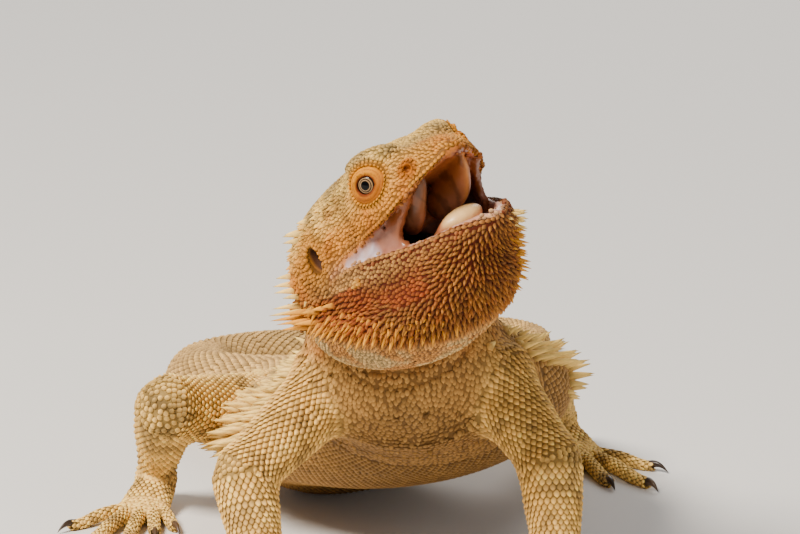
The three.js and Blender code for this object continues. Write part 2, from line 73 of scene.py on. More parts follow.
ARM_SHAPE = {
    "upper": [(-0.1, 8.2, 8.8), (0.4, 7.6, 7.6), (1, 6.4, 6.4)],
    "knob": 6.6,
    "lower": [(0, 6.2, 6.2), (0.25, 6.6, 6.4), (0.65, 5.4, 5.2), (1, 4.3, 3.9)],
    "length": 9,
    "width": 11,
    "digits": [(11, -38, 1.7), (16, -18, 1.8), (18.5, 2, 1.8), (17.5, 22, 1.8), (11.5, 52, 1.6)],
}
LEG_SHAPE = {
    "upper": [(-0.1, 10, 10), (0.4, 9, 8.8), (1, 6.8, 6.8)],
    "knob": 7,
    "lower": [(0, 6.4, 6.4), (0.3, 6.8, 6.4), (0.65, 5.4, 5.2), (1, 4.3, 4)],
    "length": 15,
    "width": 11.5,
    "digits": [(10, -30, 1.7), (15, -16, 1.8), (20.5, -4, 1.9), (25.5, 9, 1.9), (15, 36, 1.6)],
}

# Stations of a sole: share of its length, half width as a share of its width, height and depth.
SOLE = [(-0.25, 0.36, 4.2, 4.6), (0.3, 0.44, 3.6, 4.4), (0.75, 0.5, 2.3, 3.1), (1.15, 0.42, 1.5, 2.2)]

# Sections of the upper head: forward, half width, top, lip height, brow bump, arch of the palate.
HEAD_SECTIONS = [
    (-13, 16.5, 11, -7, 0, 0),
    (-8, 20, 14, -6, 0, 0),
    (-1, 20.8, 15.8, -3.8, 0, 0),
    (6, 19, 16.4, -1.7, 0, 0.5),
    (11, 17.2, 16.4, -0.7, 0.1, 2.2),
    (16, 15.8, 16.1, -0.6, 0.4, 3.8),
    (21, 15.6, 15.7, -0.6, 0.6, 4.6),
    (26, 14.8, 14, -0.5, 0.6, 4.6),
    (31, 12.3, 11.6, 0.5, 0.3, 4),
    (35.5, 9.1, 9.8, 1.6, 0, 3),
    (39, 5.6, 8.2, 2.4, 0, 1.6),
    (41.2, 2.8, 6.6, 3.1, 0, 0.5),
    (42, 1, 5.2, 3.8, 0, 0.2),
]

# Sections of the lower jaw before it opens: forward, half width, rim height, depth, mouth floor.
JAW_SECTIONS = [
    (-8, 16.5, -4.5, 10.5, 0),
    (0, 18.8, -1.4, 14, 0),
    (8, 18.2, 0.6, 15, 1.4),
    (15, 16.8, 0.8, 15, 3),
    (22, 15, 0.2, 14, 3),
    (29, 12, -0.7, 11.4, 2.6),
    (35, 8.6, -0.8, 8.5, 2),
    (39, 5.6, -1.4, 6, 1.2),
    (41.2, 3.2, -2.1, 3.8, 0.5),
    (42.2, 1.2, -3, 1.6, 0.2),
]

# Stations of tubes: x, y, z, half width, height above and height below the centre.
BEARD = [
    (38, -0.4, -4, 7.2, 3, 4.5),
    (31, -1.2, -7.5, 11.6, 5, 9),
    (23, -2, -10.5, 15, 7, 11.6),
    (13, -2.8, -12, 18, 8, 13.6),
    (3, -2.8, -11, 19.6, 9, 14.4),
    (-7, -2, -8.5, 20, 10, 13.5),
    (-14, -1, -6, 17, 9, 10),
]
TRUNK = [
    (1, 4, 46, 15, 8, 12),
    (1, 13, 47, 21.5, 11, 16.5),
    (3, 26, 45, 26, 13.5, 18.5),
    (5, 40, 37.5, 31, 16, 18.5),
    (3.5, 55, 30, 35, 18, 17.5),
    (-1, 70, 24.5, 37, 17.8, 15.5),
    (-6, 84, 20, 35, 17, 15),
    (-11, 96, 17.5, 28, 15.5, 18.6),
    (-16, 107, 15.5, 20.5, 13.8, 17.2),
    (-21, 117, 13, 12.5, 10.8, 12.6),
]
TRUNK_UP = (-0.1, 0, 1)
NECK = [
    (-9, 15, 75, 16, 12, 12),
    (-5, 17, 67, 17.5, 13, 14),
    (-1, 20, 58, 20, 13, 15),
    (1, 25, 48, 21, 12, 14),
]
TAIL = [
    (-15, 106, 15.5, 19, 13, 15),
    (-24, 120, 12.5, 14, 11.5, 13),
    (-35, 133, 10.8, 11, 10, 11.5),
    (-45, 148, 9.2, 9.2, 8.9, 9.8),
    (-45, 165, 8, 8.2, 8, 8.5),
    (-33, 181, 7, 7.2, 7, 7.4),
    (-12, 191, 6, 6.2, 6, 6.4),
    (10, 194, 5.1, 5.2, 5.1, 5.4),
    (27, 200, 4.3, 4.4, 4.3, 4.6),
    (33, 213, 3.6, 3.6, 3.5, 3.9),
    (26, 226, 3, 2.9, 2.9, 3.3),
    (10, 232, 2.3, 2.2, 2.2, 2.6),
    (-8, 231, 1.7, 1.5, 1.5, 2),
    (-24, 226, 1.1, 0.8, 0.8, 1.4),
]
# The folds that hang from the palate: forward, left, up, half width, height above and below.
FOLDS = [
    (34.5, 5.4, 3.2, 1.1, 2, 1.2),
    (30, 6.2, 1.6, 1.7, 3, 2.6),
    (26, 6, 0, 2.1, 4, 3.4),
    (21.5, 4.8, -0.8, 2.4, 4, 3.4),
    (17, 3.2, -1.4, 2.2, 3.4, 2.8),
]
TONGUE = [
    (6, 0, -5.8, 5, 1.2, 2.2),
    (14, 0, -5, 5.6, 1.5, 2),
    (21, 0, -3.8, 5.8, 1.9, 2.2),
    (26, 0, -2.2, 5.8, 2.3, 2.8),
    (30.2, 0, -0.6, 5.4, 2.4, 3),
    (33.4, 0, -0.7, 4.2, 1.8, 2.3),
]

# ---------------------------------------------------------------- dimensions of the coat

# Rings of scales round the openings: how far out, as a share of the opening (mm at the nostrils), and
# how many.
LID_RINGS = ((2.12, 31), (2.46, 34), (2.82, 37))
NOSTRIL_RINGS = ((1.6, 11), (2.15, 14))
EAR_RINGS = ((1.25, 17),)
# The line of the pouch's longest spines in the jaw's frame: how low it is, and how it falls ahead.
FRINGE_DROP = 8.6
FRINGE_SLOPE = 0.5
FRINGE_SPAN = (-6, 21.5)
CHEST_END = 26.0  # how far back the chest's scattered scales reach
# Rows of spines along each flank: degrees above the edge, share of the full length, and number.
FLANK_ROWS = [
    (2, 1.0, 29),
    (-5, 0.8, 28),
    (-12, 0.45, 24),
    (9, 0.95, 28),
    (17, 0.85, 27),
    (25, 0.75, 26),
    (33, 0.6, 24),
]
# The long spines at the angle of the jaw, behind the ear and on the temple: forward, left, up and length.
CHEEK_SPINES = [
    (-9.4, 19.6, -2, 8.6),
    (-8.4, 19.7, -3.4, 9),
    (-7, 19.8, -4.8, 8.4),
    (-10, 19.2, -0.4, 7),
    (-6, 19.8, -3, 7),
    (-5, 19.8, -6.2, 6.4),
    (-9.6, 19, -5.4, 7.4),
    (-3, 19.9, -4.2, 4.6),
    (-0.4, 19.8, -5, 3.8),
    (2.4, 19.4, -5.8, 3.2),
    (-8.8, 19, 4.4, 5),
    (-8.4, 19.2, 2.8, 5.2),
    (-8, 18.8, 6, 4),
    (-7, 19.4, 1, 4),
    (1.2, 16, 10.9, 4.6),
    (0.2, 16.7, 10, 4),
    (-0.8, 15.2, 12, 3.6),
    (2.8, 14.6, 12.8, 2.6),
]

# ---------------------------------------------------------------- small tools

rng = np.random.default_rng(7)


def unit(v):
    v = np.asarray(v, float)
    return v / np.maximum(np.linalg.norm(v, axis=-1, keepdims=True), 1e-9)


def dot(a, b):
    return (a * b).sum(-1)


def smoothstep(x, low, high):
    w = np.clip((x - low) / (high - low), 0, 1)
    return w * w * (3 - 2 * w)


def mix(a, b, w):
    return a + (b - a) * np.asarray(w)[..., None]


def rgb(red, green, blue):
    """A display colour, 0 to 255, as linear light."""
    c = np.array([red, green, blue]) / 255
    return np.where(c <= 0.04045, c / 12.92, ((c + 0.055) / 1.055) ** 2.4)


def cell_noise(points, size, seed=0):
    """Smooth noise from 0 to 1, with lumps about as large as `size`."""
    q = points / size + seed * 17.31
    corner = np.floor(q).astype(np.int64)
    w = q - corner
    w = w * w * (3 - 2 * w)
    total = np.zeros(len(points))
    for dx, dy, dz in np.ndindex(2, 2, 2):
        # Large primes turn a corner's number into a value that looks random.
        n = (corner[:, 0] + dx) * 73856093 ^ (corner[:, 1] + dy) * 19349663
        n ^= (corner[:, 2] + dz) * 83492791 ^ (seed * 7919 + 11)
        n = ((n ^ (n >> 13)) * 1274126177) & 0x7FFFFFFF
        value = ((n ^ (n >> 15)) & 0xFFFF) / 65535
        share = np.abs(1 - dx - w[:, 0]) * np.abs(1 - dy - w[:, 1]) * np.abs(1 - dz - w[:, 2])
        total += value * share
    return total


def rough_noise(points, size, seed=0):
    return 0.62 * cell_noise(points, size, seed) + 0.38 * cell_noise(points, size * 0.43, seed + 1)


def patches(points, size, seed, low, high):
    """0 to 1 in patches about as large as `size`; low and high set how much they cover."""
    return smoothstep(rough_noise(points, size, seed), low, high)


def peak(x, middle, width):
    """1 where x is at the middle, and falling to 0 on both sides of it."""
    return np.exp(-(((x - middle) / width) ** 2))


def blend(a, b, k):
    """The union of two solids with a fillet about k wide."""
    h = np.maximum(k - np.abs(a - b), 0) / k
    return np.minimum(a, b) - h * h * k / 4


def carve(a, b, k):
    """Solid a without solid b, with a rounded edge."""
    return -blend(-a, b, k)


# ---------------------------------------------------------------- frames

forward = unit(HEAD_FORWARD)
left = unit(np.cross(HEAD_UP, forward))
head_axes = np.array([forward, left, np.cross(forward, left)])  # rows: forward, left, up
cos_gape, sin_gape = math.cos(GAPE), math.sin(GAPE)
jaw_turn = np.array([[cos_gape, 0, sin_gape], [0, 1, 0], [-sin_gape, 0, cos_gape]])


def eye_gap(p):
    """Distance from the middle of the nearer eye's opening, as a share of the opening's half width."""
    h = to_head(p)
    f, side, u = h[:, 0] - EYE_AT[0], np.abs(h[:, 1]) - EYE_AT[1], h[:, 2] - EYE_AT[2]
    along = f * math.cos(EYE_TURN) - side * math.sin(EYE_TURN)
    outward = f * math.sin(EYE_TURN) + side * math.cos(EYE_TURN)
    return np.hypot(along / LID_OPENING[0], u / LID_OPENING[1]) + 10 * (outward < 0.5)


def ear_gap(p):
    """Distance from the middle of the nearer ear, as a share of its opening."""
    h = to_head(p)
    inner = np.abs(h[:, 1]) <= 14
    wide, tall = EAR_OPENING
    return np.hypot((h[:, 0] - EAR_AT[0]) / wide, (h[:, 2] - EAR_AT[2]) / tall) + 9 * inner


def nose_gap(p):
    """Distance from the middle of the nearer nostril, in millimetres."""
    h = to_head(p)
    side = np.abs(h[:, 1])
    return np.linalg.norm(np.stack([h[:, 0], side, h[:, 2]], 1) - NOSTRIL_AT - (0, 0.8, 0), axis=1)


def to_head(p):
    return (p - HEAD_AT) @ head_axes.T


def from_head(p):
    return np.asarray(p, float) @ head_axes + HEAD_AT


def head_to_jaw(p):
    return (p - JAW_HINGE) @ jaw_turn + JAW_HINGE


def to_jaw(p):
    return head_to_jaw(to_head(p))


def jaw_to_head(p):
    return (np.asarray(p, float) - JAW_HINGE) @ jaw_turn.T + JAW_HINGE


def from_jaw(p):
    return from_head(jaw_to_head(p))


def turn_from_head(v):
    return np.asarray(v, float) @ head_axes


def turn_from_jaw(v):
    return turn_from_head(np.asarray(v, float) @ jaw_turn.T)


IN_HEAD = {"place": from_head, "turn": turn_from_head}
IN_JAW = {"place": from_jaw, "turn": turn_from_jaw}


# ---------------------------------------------------------------- shapes with a distance

CHUNK = 20000  # how many places are worked out at a time
MARGIN = 8.0  # how far round its box a shape's distance is worked out
BEYOND = 9.0  # the distance that stands for everywhere further away


def hermite(start, end, leave, arrive, u):
    """A cubic between two values, with its slope at both."""
    return (
        start * (1 - 3 * u**2 + 2 * u**3)
        + end * (3 * u**2 - 2 * u**3)
        + leave * (u - 2 * u**2 + u**3)
        + arrive * (u**3 - u**2)
    )


def spline(values, spans, share, tension=None):
    """Catmull-Rom values at share from 0 to 1: centripetal, or uniform with a tension."""
    ext = np.vstack([2 * values[0] - values[1], values, 2 * values[-1] - values[-2]])
    i = np.minimum((share * spans).astype(int), spans - 1)
    u = (share * spans - i)[:, None]
    p0, p1, p2, p3 = ext[i], ext[i + 1], ext[i + 2], ext[i + 3]
    if tension is None:
        d0 = np.sqrt(np.linalg.norm(p1 - p0, axis=1, keepdims=True))
        d1 = np.sqrt(np.linalg.norm(p2 - p1, axis=1, keepdims=True))
        d2 = np.sqrt(np.linalg.norm(p3 - p2, axis=1, keepdims=True))
        m = ((p1 - p0) / d0 - (p2 - p0) / (d0 + d1) + (p2 - p1) / d1) * d1
        k = ((p2 - p1) / d1 - (p3 - p1) / (d1 + d2) + (p3 - p2) / d2) * d1
    else:
        m, k = tension * (p2 - p0), tension * (p3 - p1)
    return hermite(p1, p2, m, k, u)


def past_end(d, over):
    """The distance beyond a body's flat end, where `over` is how far past the end a place is."""
    return np.where(over > 0, np.hypot(np.maximum(d, 0), over), d)


class Tube:
    """A body along stations. `inset` is the coat's depth, by which the skin lies inside the solid."""

    def __init__(self, stations, up=(0, 0, 1), ends=14, inset=0.7, step=1.6, place=None, turn=None):
        s = np.array([tuple(row) + (row[4],) * (6 - len(row)) for row in stations], float)
        spans = len(s) - 1
        length = np.linalg.norm(np.diff(s[:, :3], axis=0), axis=1).sum()
        count = spans * max(5, math.ceil(length / spans / step)) + 1
        self.t = np.linspace(0, 1, count)
        centre = spline(s[:, :3], spans, self.t)
        size = spline(s[:, 3:6], spans, self.t, 0.5) - inset
        along = unit(np.gradient(centre, axis=0))
        side = unit(np.cross(along, np.array(up, float)))
        top = np.cross(side, along)
        if place:
            centre, along, side, top = place(centre), turn(along), turn(side), turn(top)
        bend = np.sqrt(np.maximum(0.03, 1 - np.abs(2 * self.t - 1) ** ends)) if ends else 1.0
        self.centre, self.along, self.side, self.top = centre, along, side, top
        self.size = np.maximum(size, 0.25) * (bend[:, None] if ends else 1)
        self.pitch = np.linalg.norm(np.gradient(centre, axis=0), axis=1)
        reach = self.size.max(1)[:, None]
        self.low, self.high = (centre - reach).min(0), (centre + reach).max(0)
        self.square = (centre**2).sum(1)

    def near(self, p):
        """Place along the tube (as a sample number), offsets across it, and overshoot past an end."""
        best = np.empty(len(p), int)
        for i in range(0, len(p), CHUNK):
            part = p[i : i + CHUNK]
            best[i : i + CHUNK] = (self.square - 2 * (part @ self.centre.T)).argmin(1)
        shift = dot(p - self.centre[best], self.along[best]) / self.pitch[best]
        s = np.clip(best + shift, 0, len(self.t) - 1)
        i = np.minimum(s.astype(int), len(self.t) - 2)
        w = (s - i)[:, None]
        away = p - (self.centre[i] * (1 - w) + self.centre[i + 1] * w)
        side = self.side[i] * (1 - w) + self.side[i + 1] * w
        top = self.top[i] * (1 - w) + self.top[i + 1] * w
        size = self.size[i] * (1 - w) + self.size[i + 1] * w
        over = np.abs(dot(away, self.along[best])) * ((s <= 0) | (s >= len(self.t) - 1))
        return s, dot(away, side), dot(away, top), size, over

    def distance(self, p):
        _, x, z, size, over = self.near(p)
        a, b = size[:, 0], np.where(z > 0, size[:, 1], size[:, 2])
        k = np.hypot(x / a, z / b) + 1e-6
        return past_end((k - 1) * k / np.maximum(np.hypot(x / a**2, z / b**2), 1e-6), over)


class Ball:
    """An ellipsoid turned by angles in degrees, in the body's frame or in the head's."""

    def __init__(self, at, radii, turn=(0, 0, 0), inset=0.0, in_head=True):
        x, y, z = (math.radians(a) for a in turn)
        spin = Matrix.Rotation(x, 3, "X") @ Matrix.Rotation(y, 3, "Y") @ Matrix.Rotation(z, 3, "Z")
        self.axes = np.array(spin).T  # rows: the ellipsoid's own axes
        self.at = np.array(at, float)
        if in_head:
            self.axes = self.axes @ head_axes
            self.at = from_head(self.at)
        self.radii = np.array(radii, float) - inset
        self.low, self.high = self.at - max(self.radii), self.at + max(self.radii)

    def distance(self, p):
        q = (p - self.at) @ self.axes.T
        k = np.linalg.norm(q / self.radii, axis=1) + 1e-6
        return (k - 1) * k / np.maximum(np.linalg.norm(q / self.radii**2, axis=1), 1e-6)


def pair(at, radii, turn=(0, 0, 0), inset=0.0):
    """The same ellipsoid on the right and on the left of the head."""
    x, y, z = turn
    return [Ball((at[0], s * at[1], at[2]), radii, (x, y, s * z), inset) for s in (-1, 1)]


def near_only(shape, p):
    """The distance where p is in reach of the shape's box, and a large one elsewhere."""
    close = ((p > shape.low - MARGIN) & (p < shape.high + MARGIN)).all(1)
    d = np.full(len(p), BEYOND)
    if close.any():
        d[close] = np.minimum(shape.distance(p[close]), BEYOND)
    return d


def combine(how, d, p, groups):
    """Adds (blend) or cuts away (carve) groups of shapes, each group with its fillet's width."""
    for shapes, k in groups:
        for shape in shapes:
            d = how(d, near_only(shape, p), k)
    return d


def section_table(sections, samples=400):
    s = np.array(sections, float)
    spans = len(s) - 1
    ext = np.vstack([s[0], s, s[-1]])
    share = np.linspace(0, 1, samples)
    i = np.minimum((share * spans).astype(int), spans - 1)
    u = (share * spans - i)[:, None]
    p, q = ext[i + 1], ext[i + 2]
    m, k = (q - ext[i]) / 2, (ext[i + 3] - p) / 2
    return hermite(p, q, m, k, u)


def table_row(table, f):
    return [np.interp(f, table[:, 0], column) for column in table[:, 1:].T]


def superellipse(a, b, pa, pb, wa, wb):
    """Distance to a^pa + b^pb = 1, where a and b are shares of the lengths wa and wb."""
    total = np.maximum(a**pa + b**pb, 1e-6)
    k = total ** (1 / 3)
    slope = np.hypot(pa * a ** (pa - 1) / wa, pb * b ** (pb - 1) / wb) * k / (3 * total)
    return (k - 1) / np.maximum(slope, 0.02)


HEAD_INSET = 0.5
GUM = 2.5  # how far the gums stand inside the lips


def palate_height(f, l):
    """Height of the mouth's roof in the head's frame: an arch, with gums and a pit in front."""
    half, _, lip, _, arch = upper_head.row(f)
    side = np.abs(l)
    roof = lip + arch * (1 - np.minimum(side / half, 1) ** 3)
    roof = roof - 0.9 * peak(side - half + GUM, 0, 0.7) * smoothstep(f, 8, 16)
    return roof + 1.1 * np.exp(-(((f - 35) / 3.2) ** 2) - (l / 2.6) ** 2)


def bed_height(f, l):
    """Height of the mouth's floor in the jaw's frame: a trough, with gums inside the lips."""
    half, rim, _, floor = lower_jaw.row(f)
    side = np.abs(l)
    bed = rim - floor * (1 - np.minimum(side / half, 1) ** 3)
    return bed + 1.1 * peak(side - half + GUM, 0, 0.8) * smoothstep(f, 10, 18)


class UpperHead:
    table = section_table(HEAD_SECTIONS)

    def __init__(self):
        corners = from_head([(f, s * 20, u) for f in (-13, 44) for s in (-1, 1) for u in (-9, 19)])
        self.low, self.high = corners.min(0), corners.max(0)

    def row(self, f):
        return table_row(self.table, f)

    def distance(self, p):
        f, l, u = to_head(p).T
        half, top, lip, brow, _ = self.row(f)
        half, top = half - HEAD_INSET, top - HEAD_INSET
        tall = top - lip
        v = np.clip((u - lip) / tall, 0, 1.6)
        s = np.minimum(v, 1) ** (1 / 0.7)
        top = top + brow * peak(np.abs(l), half * 0.72, 3) * s
        tall = top - lip
        v = np.clip((u - lip) / tall, 0, 3)
        taper = 0.14 + 0.24 * smoothstep(f, 28, 40)
        wide = half * (1 - taper * s**2)
        d = superellipse(np.abs(l) / wide, v, 2 / 0.62, 2 / 0.7, wide, tall)
        d = carve(d, (u - palate_height(f, l) - 0.1) * 0.95, 0.9)
        return past_end(d, np.maximum(f - 41.9, 0) + np.maximum(-13 - f, 0))


class LowerJaw:
    table = section_table(JAW_SECTIONS)

    def __init__(self):
        corners = from_jaw([(f, s * 19, u) for f in (-8, 42) for s in (-1, 1) for u in (-15, 1)])
        self.low, self.high = corners.min(0), corners.max(0)

    def row(self, f):
        return table_row(self.table, f)

    def distance(self, p):
        f, l, u = to_jaw(p).T
        half, rim, depth, _ = self.row(f)
        half, depth = half - HEAD_INSET, depth - HEAD_INSET
        v = np.clip((rim - u) / depth, 0, 3)
        s = np.minimum(v, 1) ** 1.25
        wide = half * (1 + 0.2 * np.sqrt(s))
        d = superellipse(np.abs(l) / wide, v, 2.5, 2.5, wide, depth)
        d = carve(d, (bed_height(f, l) - u) * 0.95, 0.9)
        return past_end(d, np.maximum(f - 42.1, 0) + np.maximum(-8 - f, 0))


def segment(start, end, shape):
    a, b = np.array(start, float), np.array(end, float)
    return [tuple(a + (b - a) * share) + (half, deep, deep) for share, half, deep in shape]


def heading_way(degrees):
    a = math.radians(degrees)
    return np.array([math.sin(a), -math.cos(a), 0.0])


class Limb:
    """One limb: two tubes, a knob between them, a wrist, a sole and its toes."""

    def __init__(self, spec, shape):
        root, middle, end = spec["joints"]
        ahead = heading_way(spec["heading"])
        outward = spec["outward"]
        base = np.array([end[0], end[1], 0.0])
        long, wide = shape["length"], shape["width"]
        self.upper = Tube(segment(root, middle, shape["upper"]), (0, -0.6, 1), 0)
        self.lower = Tube(segment(middle, end, shape["lower"]), (0, -1, 0.3), 0, 0.6, 1.0)
        self.knob = Ball(middle, [shape["knob"]] * 3, inset=0.7, in_head=False)
        self.wrist = Ball((end[0], end[1], end[2] - 1), (4.4, 4.6, 4.6), inset=0.6, in_head=False)
        stations = []
        for share, half, z, deep in SOLE:
            p = base + ahead * long * share
            stations.append((p[0], p[1], z, half * wide, deep, deep))
        self.sole = Tube(stations, ends=6, inset=0.4, step=1.0)
        self.toes, self.claws = [], []
        across = np.array([-ahead[1], ahead[0], 0]) * outward
        for k, (reach, spread, r) in enumerate(shape["digits"]):
            way = heading_way(spec["heading"] + outward * spread)
            root = base + ahead * long * 0.8 + across * (k - 2) * wide * 0.19
            rows = [(-3, 2, r, r), (reach * 0.45, 2, 0.86 * r, r), (reach * 0.8, 1.1, 0.86 * r, 0.9 * r)]
            rows.append((reach, 1.3, 0.66 * r, 0.8 * r))
            toe = [tuple(root + way * s + (0, 0, z)) + (half, high, high) for s, z, half, high in rows]
            self.toes.append(Tube(toe, ends=0, inset=0.3, step=0.8))
            self.claws.append((root + way * reach, way, r))
        shapes = [self.upper, self.lower, self.knob, self.wrist, self.sole, *self.toes]
        self.low = np.min([s.low for s in shapes], axis=0)
        self.high = np.max([s.high for s in shapes], axis=0)

    def distance(self, p):
        joints = (([self.knob, self.lower], 2.5), ([self.wrist], 2))
        leg = combine(blend, near_only(self.upper, p), p, joints)
        foot = combine(blend, near_only(self.sole, p), p, ((self.toes, 0.8),))
        return blend(leg, foot, 2.2)


trunk = Tube(TRUNK, TRUNK_UP, 8)
neck = Tube(NECK, (0, 1, 0.3), 20)
tail = Tube(TAIL, ends=30, inset=0.55)
beard = Tube(BEARD, ends=5, inset=0.9, **IN_JAW)
upper_head = UpperHead()
lower_jaw = LowerJaw()
cheeks = pair((1.5, 10.6, -4), (8.5, 7.8, 8), inset=0.5)
palate_folds = [
    Tube([(f, s * l, u, *size) for f, l, u, *size in FOLDS], ends=6, inset=0, **IN_HEAD)
    for s in (-1, 1)
]
# The right brow is raised.
brows = [
    Ball((27, s * 8.5, up), (6.4, 3.2, 2.5), (0, 14, s * -27), 0.4)
    for s, up in ((-1, 12.9), (1, 11.7))
]


class Web:
    """The thin skin between both jaws at a corner of the mouth, in the head's frame."""

    THICK = 0.85

    def __init__(self, s):
        self.s = s
        corners = from_head([(f, s * l, u) for f in (4, 31) for l in (8, 19) for u in (-9, 3)])
        self.low, self.high = corners.min(0), corners.max(0)

    def distance(self, p):
        f, l, u = to_head(p).T
        across = np.interp(f, [8, 14, 18, 21, 25, 30], [16.6, 15.4, 13.9, 12.6, 11.2, 10.2])
        sheet = (np.abs(self.s * l - across + 0.05 * (u + 3) ** 2) - self.THICK) * 0.88
        edge = f - 24.6 - 0.75 * np.maximum(u + 4, 0) ** 1.45
        tall = np.abs(u + 3.6) - 5.2
        return np.maximum(sheet, np.maximum(edge * 0.7, tall))


webs = [Web(s) for s in (-1, 1)]


def eye_point(s, shift=0.0):
    """A point `shift` out from an eye's middle, the way that it looks. s is -1 on the right side."""
    side = EYE_AT[1] + shift * math.cos(EYE_TURN)
    return (EYE_AT[0] + shift * math.sin(EYE_TURN), s * side, EYE_AT[2])


rims = pair(eye_point(1, 1.3), (4.7, 3.1, 4.9), (0, 0, -EYE_DEGREES), 0.1)
eye_holes = pair(eye_point(1, 2.6), (LID_OPENING[0], 4.6, LID_OPENING[1]), (0, 0, -EYE_DEGREES))
throat = Ball((3, 0, -3), (13, 6, 5), (0, -3, 0))
ear_holes = pair(EAR_AT, (1.9, 3.4, 3.1))
nostrils = pair(NOSTRIL_AT + (0.2, 1.0, 0), (0.9, 1.5, 0.75))
nostril_rims = pair(NOSTRIL_AT, (2.1, 1.2, 1.8), (0, 0, -NOSE_DEGREES))
limbs = {
    "arm_right": Limb(RIGHT_ARM, ARM_SHAPE),
    "arm_left": Limb(LEFT_ARM, ARM_SHAPE),
    "leg_right": Limb(RIGHT_LEG, LEG_SHAPE),
    "leg_left": Limb(LEFT_LEG, LEG_SHAPE),
}


def lid_relief(p):
    """The lids' creases, with a hood above the eye and a bag below it, and the grooves round both."""
    gap = eye_gap(p)
    above_eye = to_head(p)[:, 2] - EYE_AT[2]
    creased = smoothstep(gap, 1.95, 1.7) * smoothstep(gap, 1.0, 1.2)
    crease = 0.1 * np.cos(gap * 2 * math.pi / 0.42) * creased
    hood = 0.42 * peak(gap, 1.42, 0.2) * smoothstep(above_eye, 0.2, 2.2)
    bag = 0.2 * peak(gap, 1.5, 0.2) * smoothstep(above_eye, 0.0, -1.6)
    return crease - hood - bag, 0.28 * peak(gap, 2.02, 0.1) + 0.12 * peak(gap, 2.5, 0.1)


class Front:
    """The head, with both jaws and the pouch."""

    low = np.minimum(upper_head.low, np.minimum(lower_jaw.low, beard.low))
    high = np.maximum(upper_head.high, np.maximum(lower_jaw.high, beard.high))

    @staticmethod
    def distance(p):
        bumps = ((palate_folds, 1.6), (brows, 3.5), (rims, 1.6), (nostril_rims, 0.9))
        d = combine(blend, near_only(upper_head, p), p, bumps)
        jaw = combine(blend, near_only(lower_jaw, p), p, (([beard], 3), (cheeks, 2), (webs, 1.2)))
        holes = ((eye_holes, 0.5), (nostrils, 0.5), (ear_holes, 0.9), ([throat], 1.0))
        d = combine(carve, blend(d, jaw, 1.4), p, holes)
        folds, grooves = lid_relief(p)
        return d + folds + grooves


GROUND = 0.3  # how far the skin stays above the ground
LOWEST = 0.05  # how far scales and claws stay above it


def flesh(p):
    """Signed distance to the whole animal's skin."""
    d = blend(near_only(trunk, p), near_only(neck, p), 7)
    below_pouch = near_only(beard, p)
    crease = 0.35 * np.cos(below_pouch * 2 * math.pi / 3) * smoothstep(below_pouch, 1, 2.2)
    d = d + crease * smoothstep(below_pouch, 8.5, 6)
    d = blend(d, near_only(tail, p), 4)
    for name, limb in limbs.items():
        d = blend(d, near_only(limb, p), 5 if "arm" in name else 4)
    d = blend(d, near_only(Front, p), 2.4)
    return carve(d, p[:, 2] - GROUND, 0.5)


def gradient(p, step=0.12):
    base = flesh(p)
    g = np.empty_like(p)
    for axis in range(3):
        q = p.copy()
        q[:, axis] += step
        g[:, axis] = (flesh(q) - base) / step
    return base, g


def settle(p, rounds=3):
    """Moves points onto the skin and gives the skin's outward direction there."""
    p = p.copy()
    for _ in range(rounds):
        d, g = gradient(p)
        size = np.maximum(dot(g, g), 0.09)
        p -= g * np.clip(d / size, -1.5, 1.5)[:, None]
    return p, unit(gradient(p)[1])


# ---------------------------------------------------------------- the skin's mesh

CELL = 1.05  # spacing of the grid that the skin is meshed from
BLOCK = 4  # cells along a block
REACH = 5.2  # how near the skin a block's corner is for the block to be worked out in full


def window(start, size):
    """The part of a grid from `start` on, `size` points along each axis."""
    return tuple(slice(a, a + n) for a, n in zip(start, size))


def skin_grid():
    """Distances on a grid round the animal. Only blocks near the skin are worked out in full."""
    shapes = [trunk, neck, tail, Front, *limbs.values()]
    low = np.min([s.low for s in shapes], axis=0) - 3
    high = np.max([s.high for s in shapes], axis=0) + 3
    low[2] = GROUND - 3
    blocks = np.ceil((high - low) / (CELL * BLOCK)).astype(int)
    axes = [low[a] + np.arange(blocks[a] + 1) * CELL * BLOCK for a in range(3)]
    coarse_at = np.stack(np.meshgrid(*axes, indexing="ij"), -1)
    coarse = flesh(coarse_at.reshape(-1, 3)).reshape(coarse_at.shape[:3])
    fine = np.repeat(np.repeat(np.repeat(coarse, BLOCK, 0), BLOCK, 1), BLOCK, 2)
    fine = fine[window((0, 0, 0), blocks * BLOCK + 1)]
    corners = np.stack([coarse[window(start, blocks)] for start in np.ndindex(2, 2, 2)])
    near = (np.abs(corners).min(0) < REACH) | (corners.min(0) * corners.max(0) < 0)
    wanted = np.zeros(fine.shape, bool)
    for block in np.argwhere(near):
        wanted[window(block * BLOCK, [BLOCK + 1] * 3)] = True
    where = np.argwhere(wanted)
    fine[wanted] = flesh(low + where * CELL)
    return low, fine


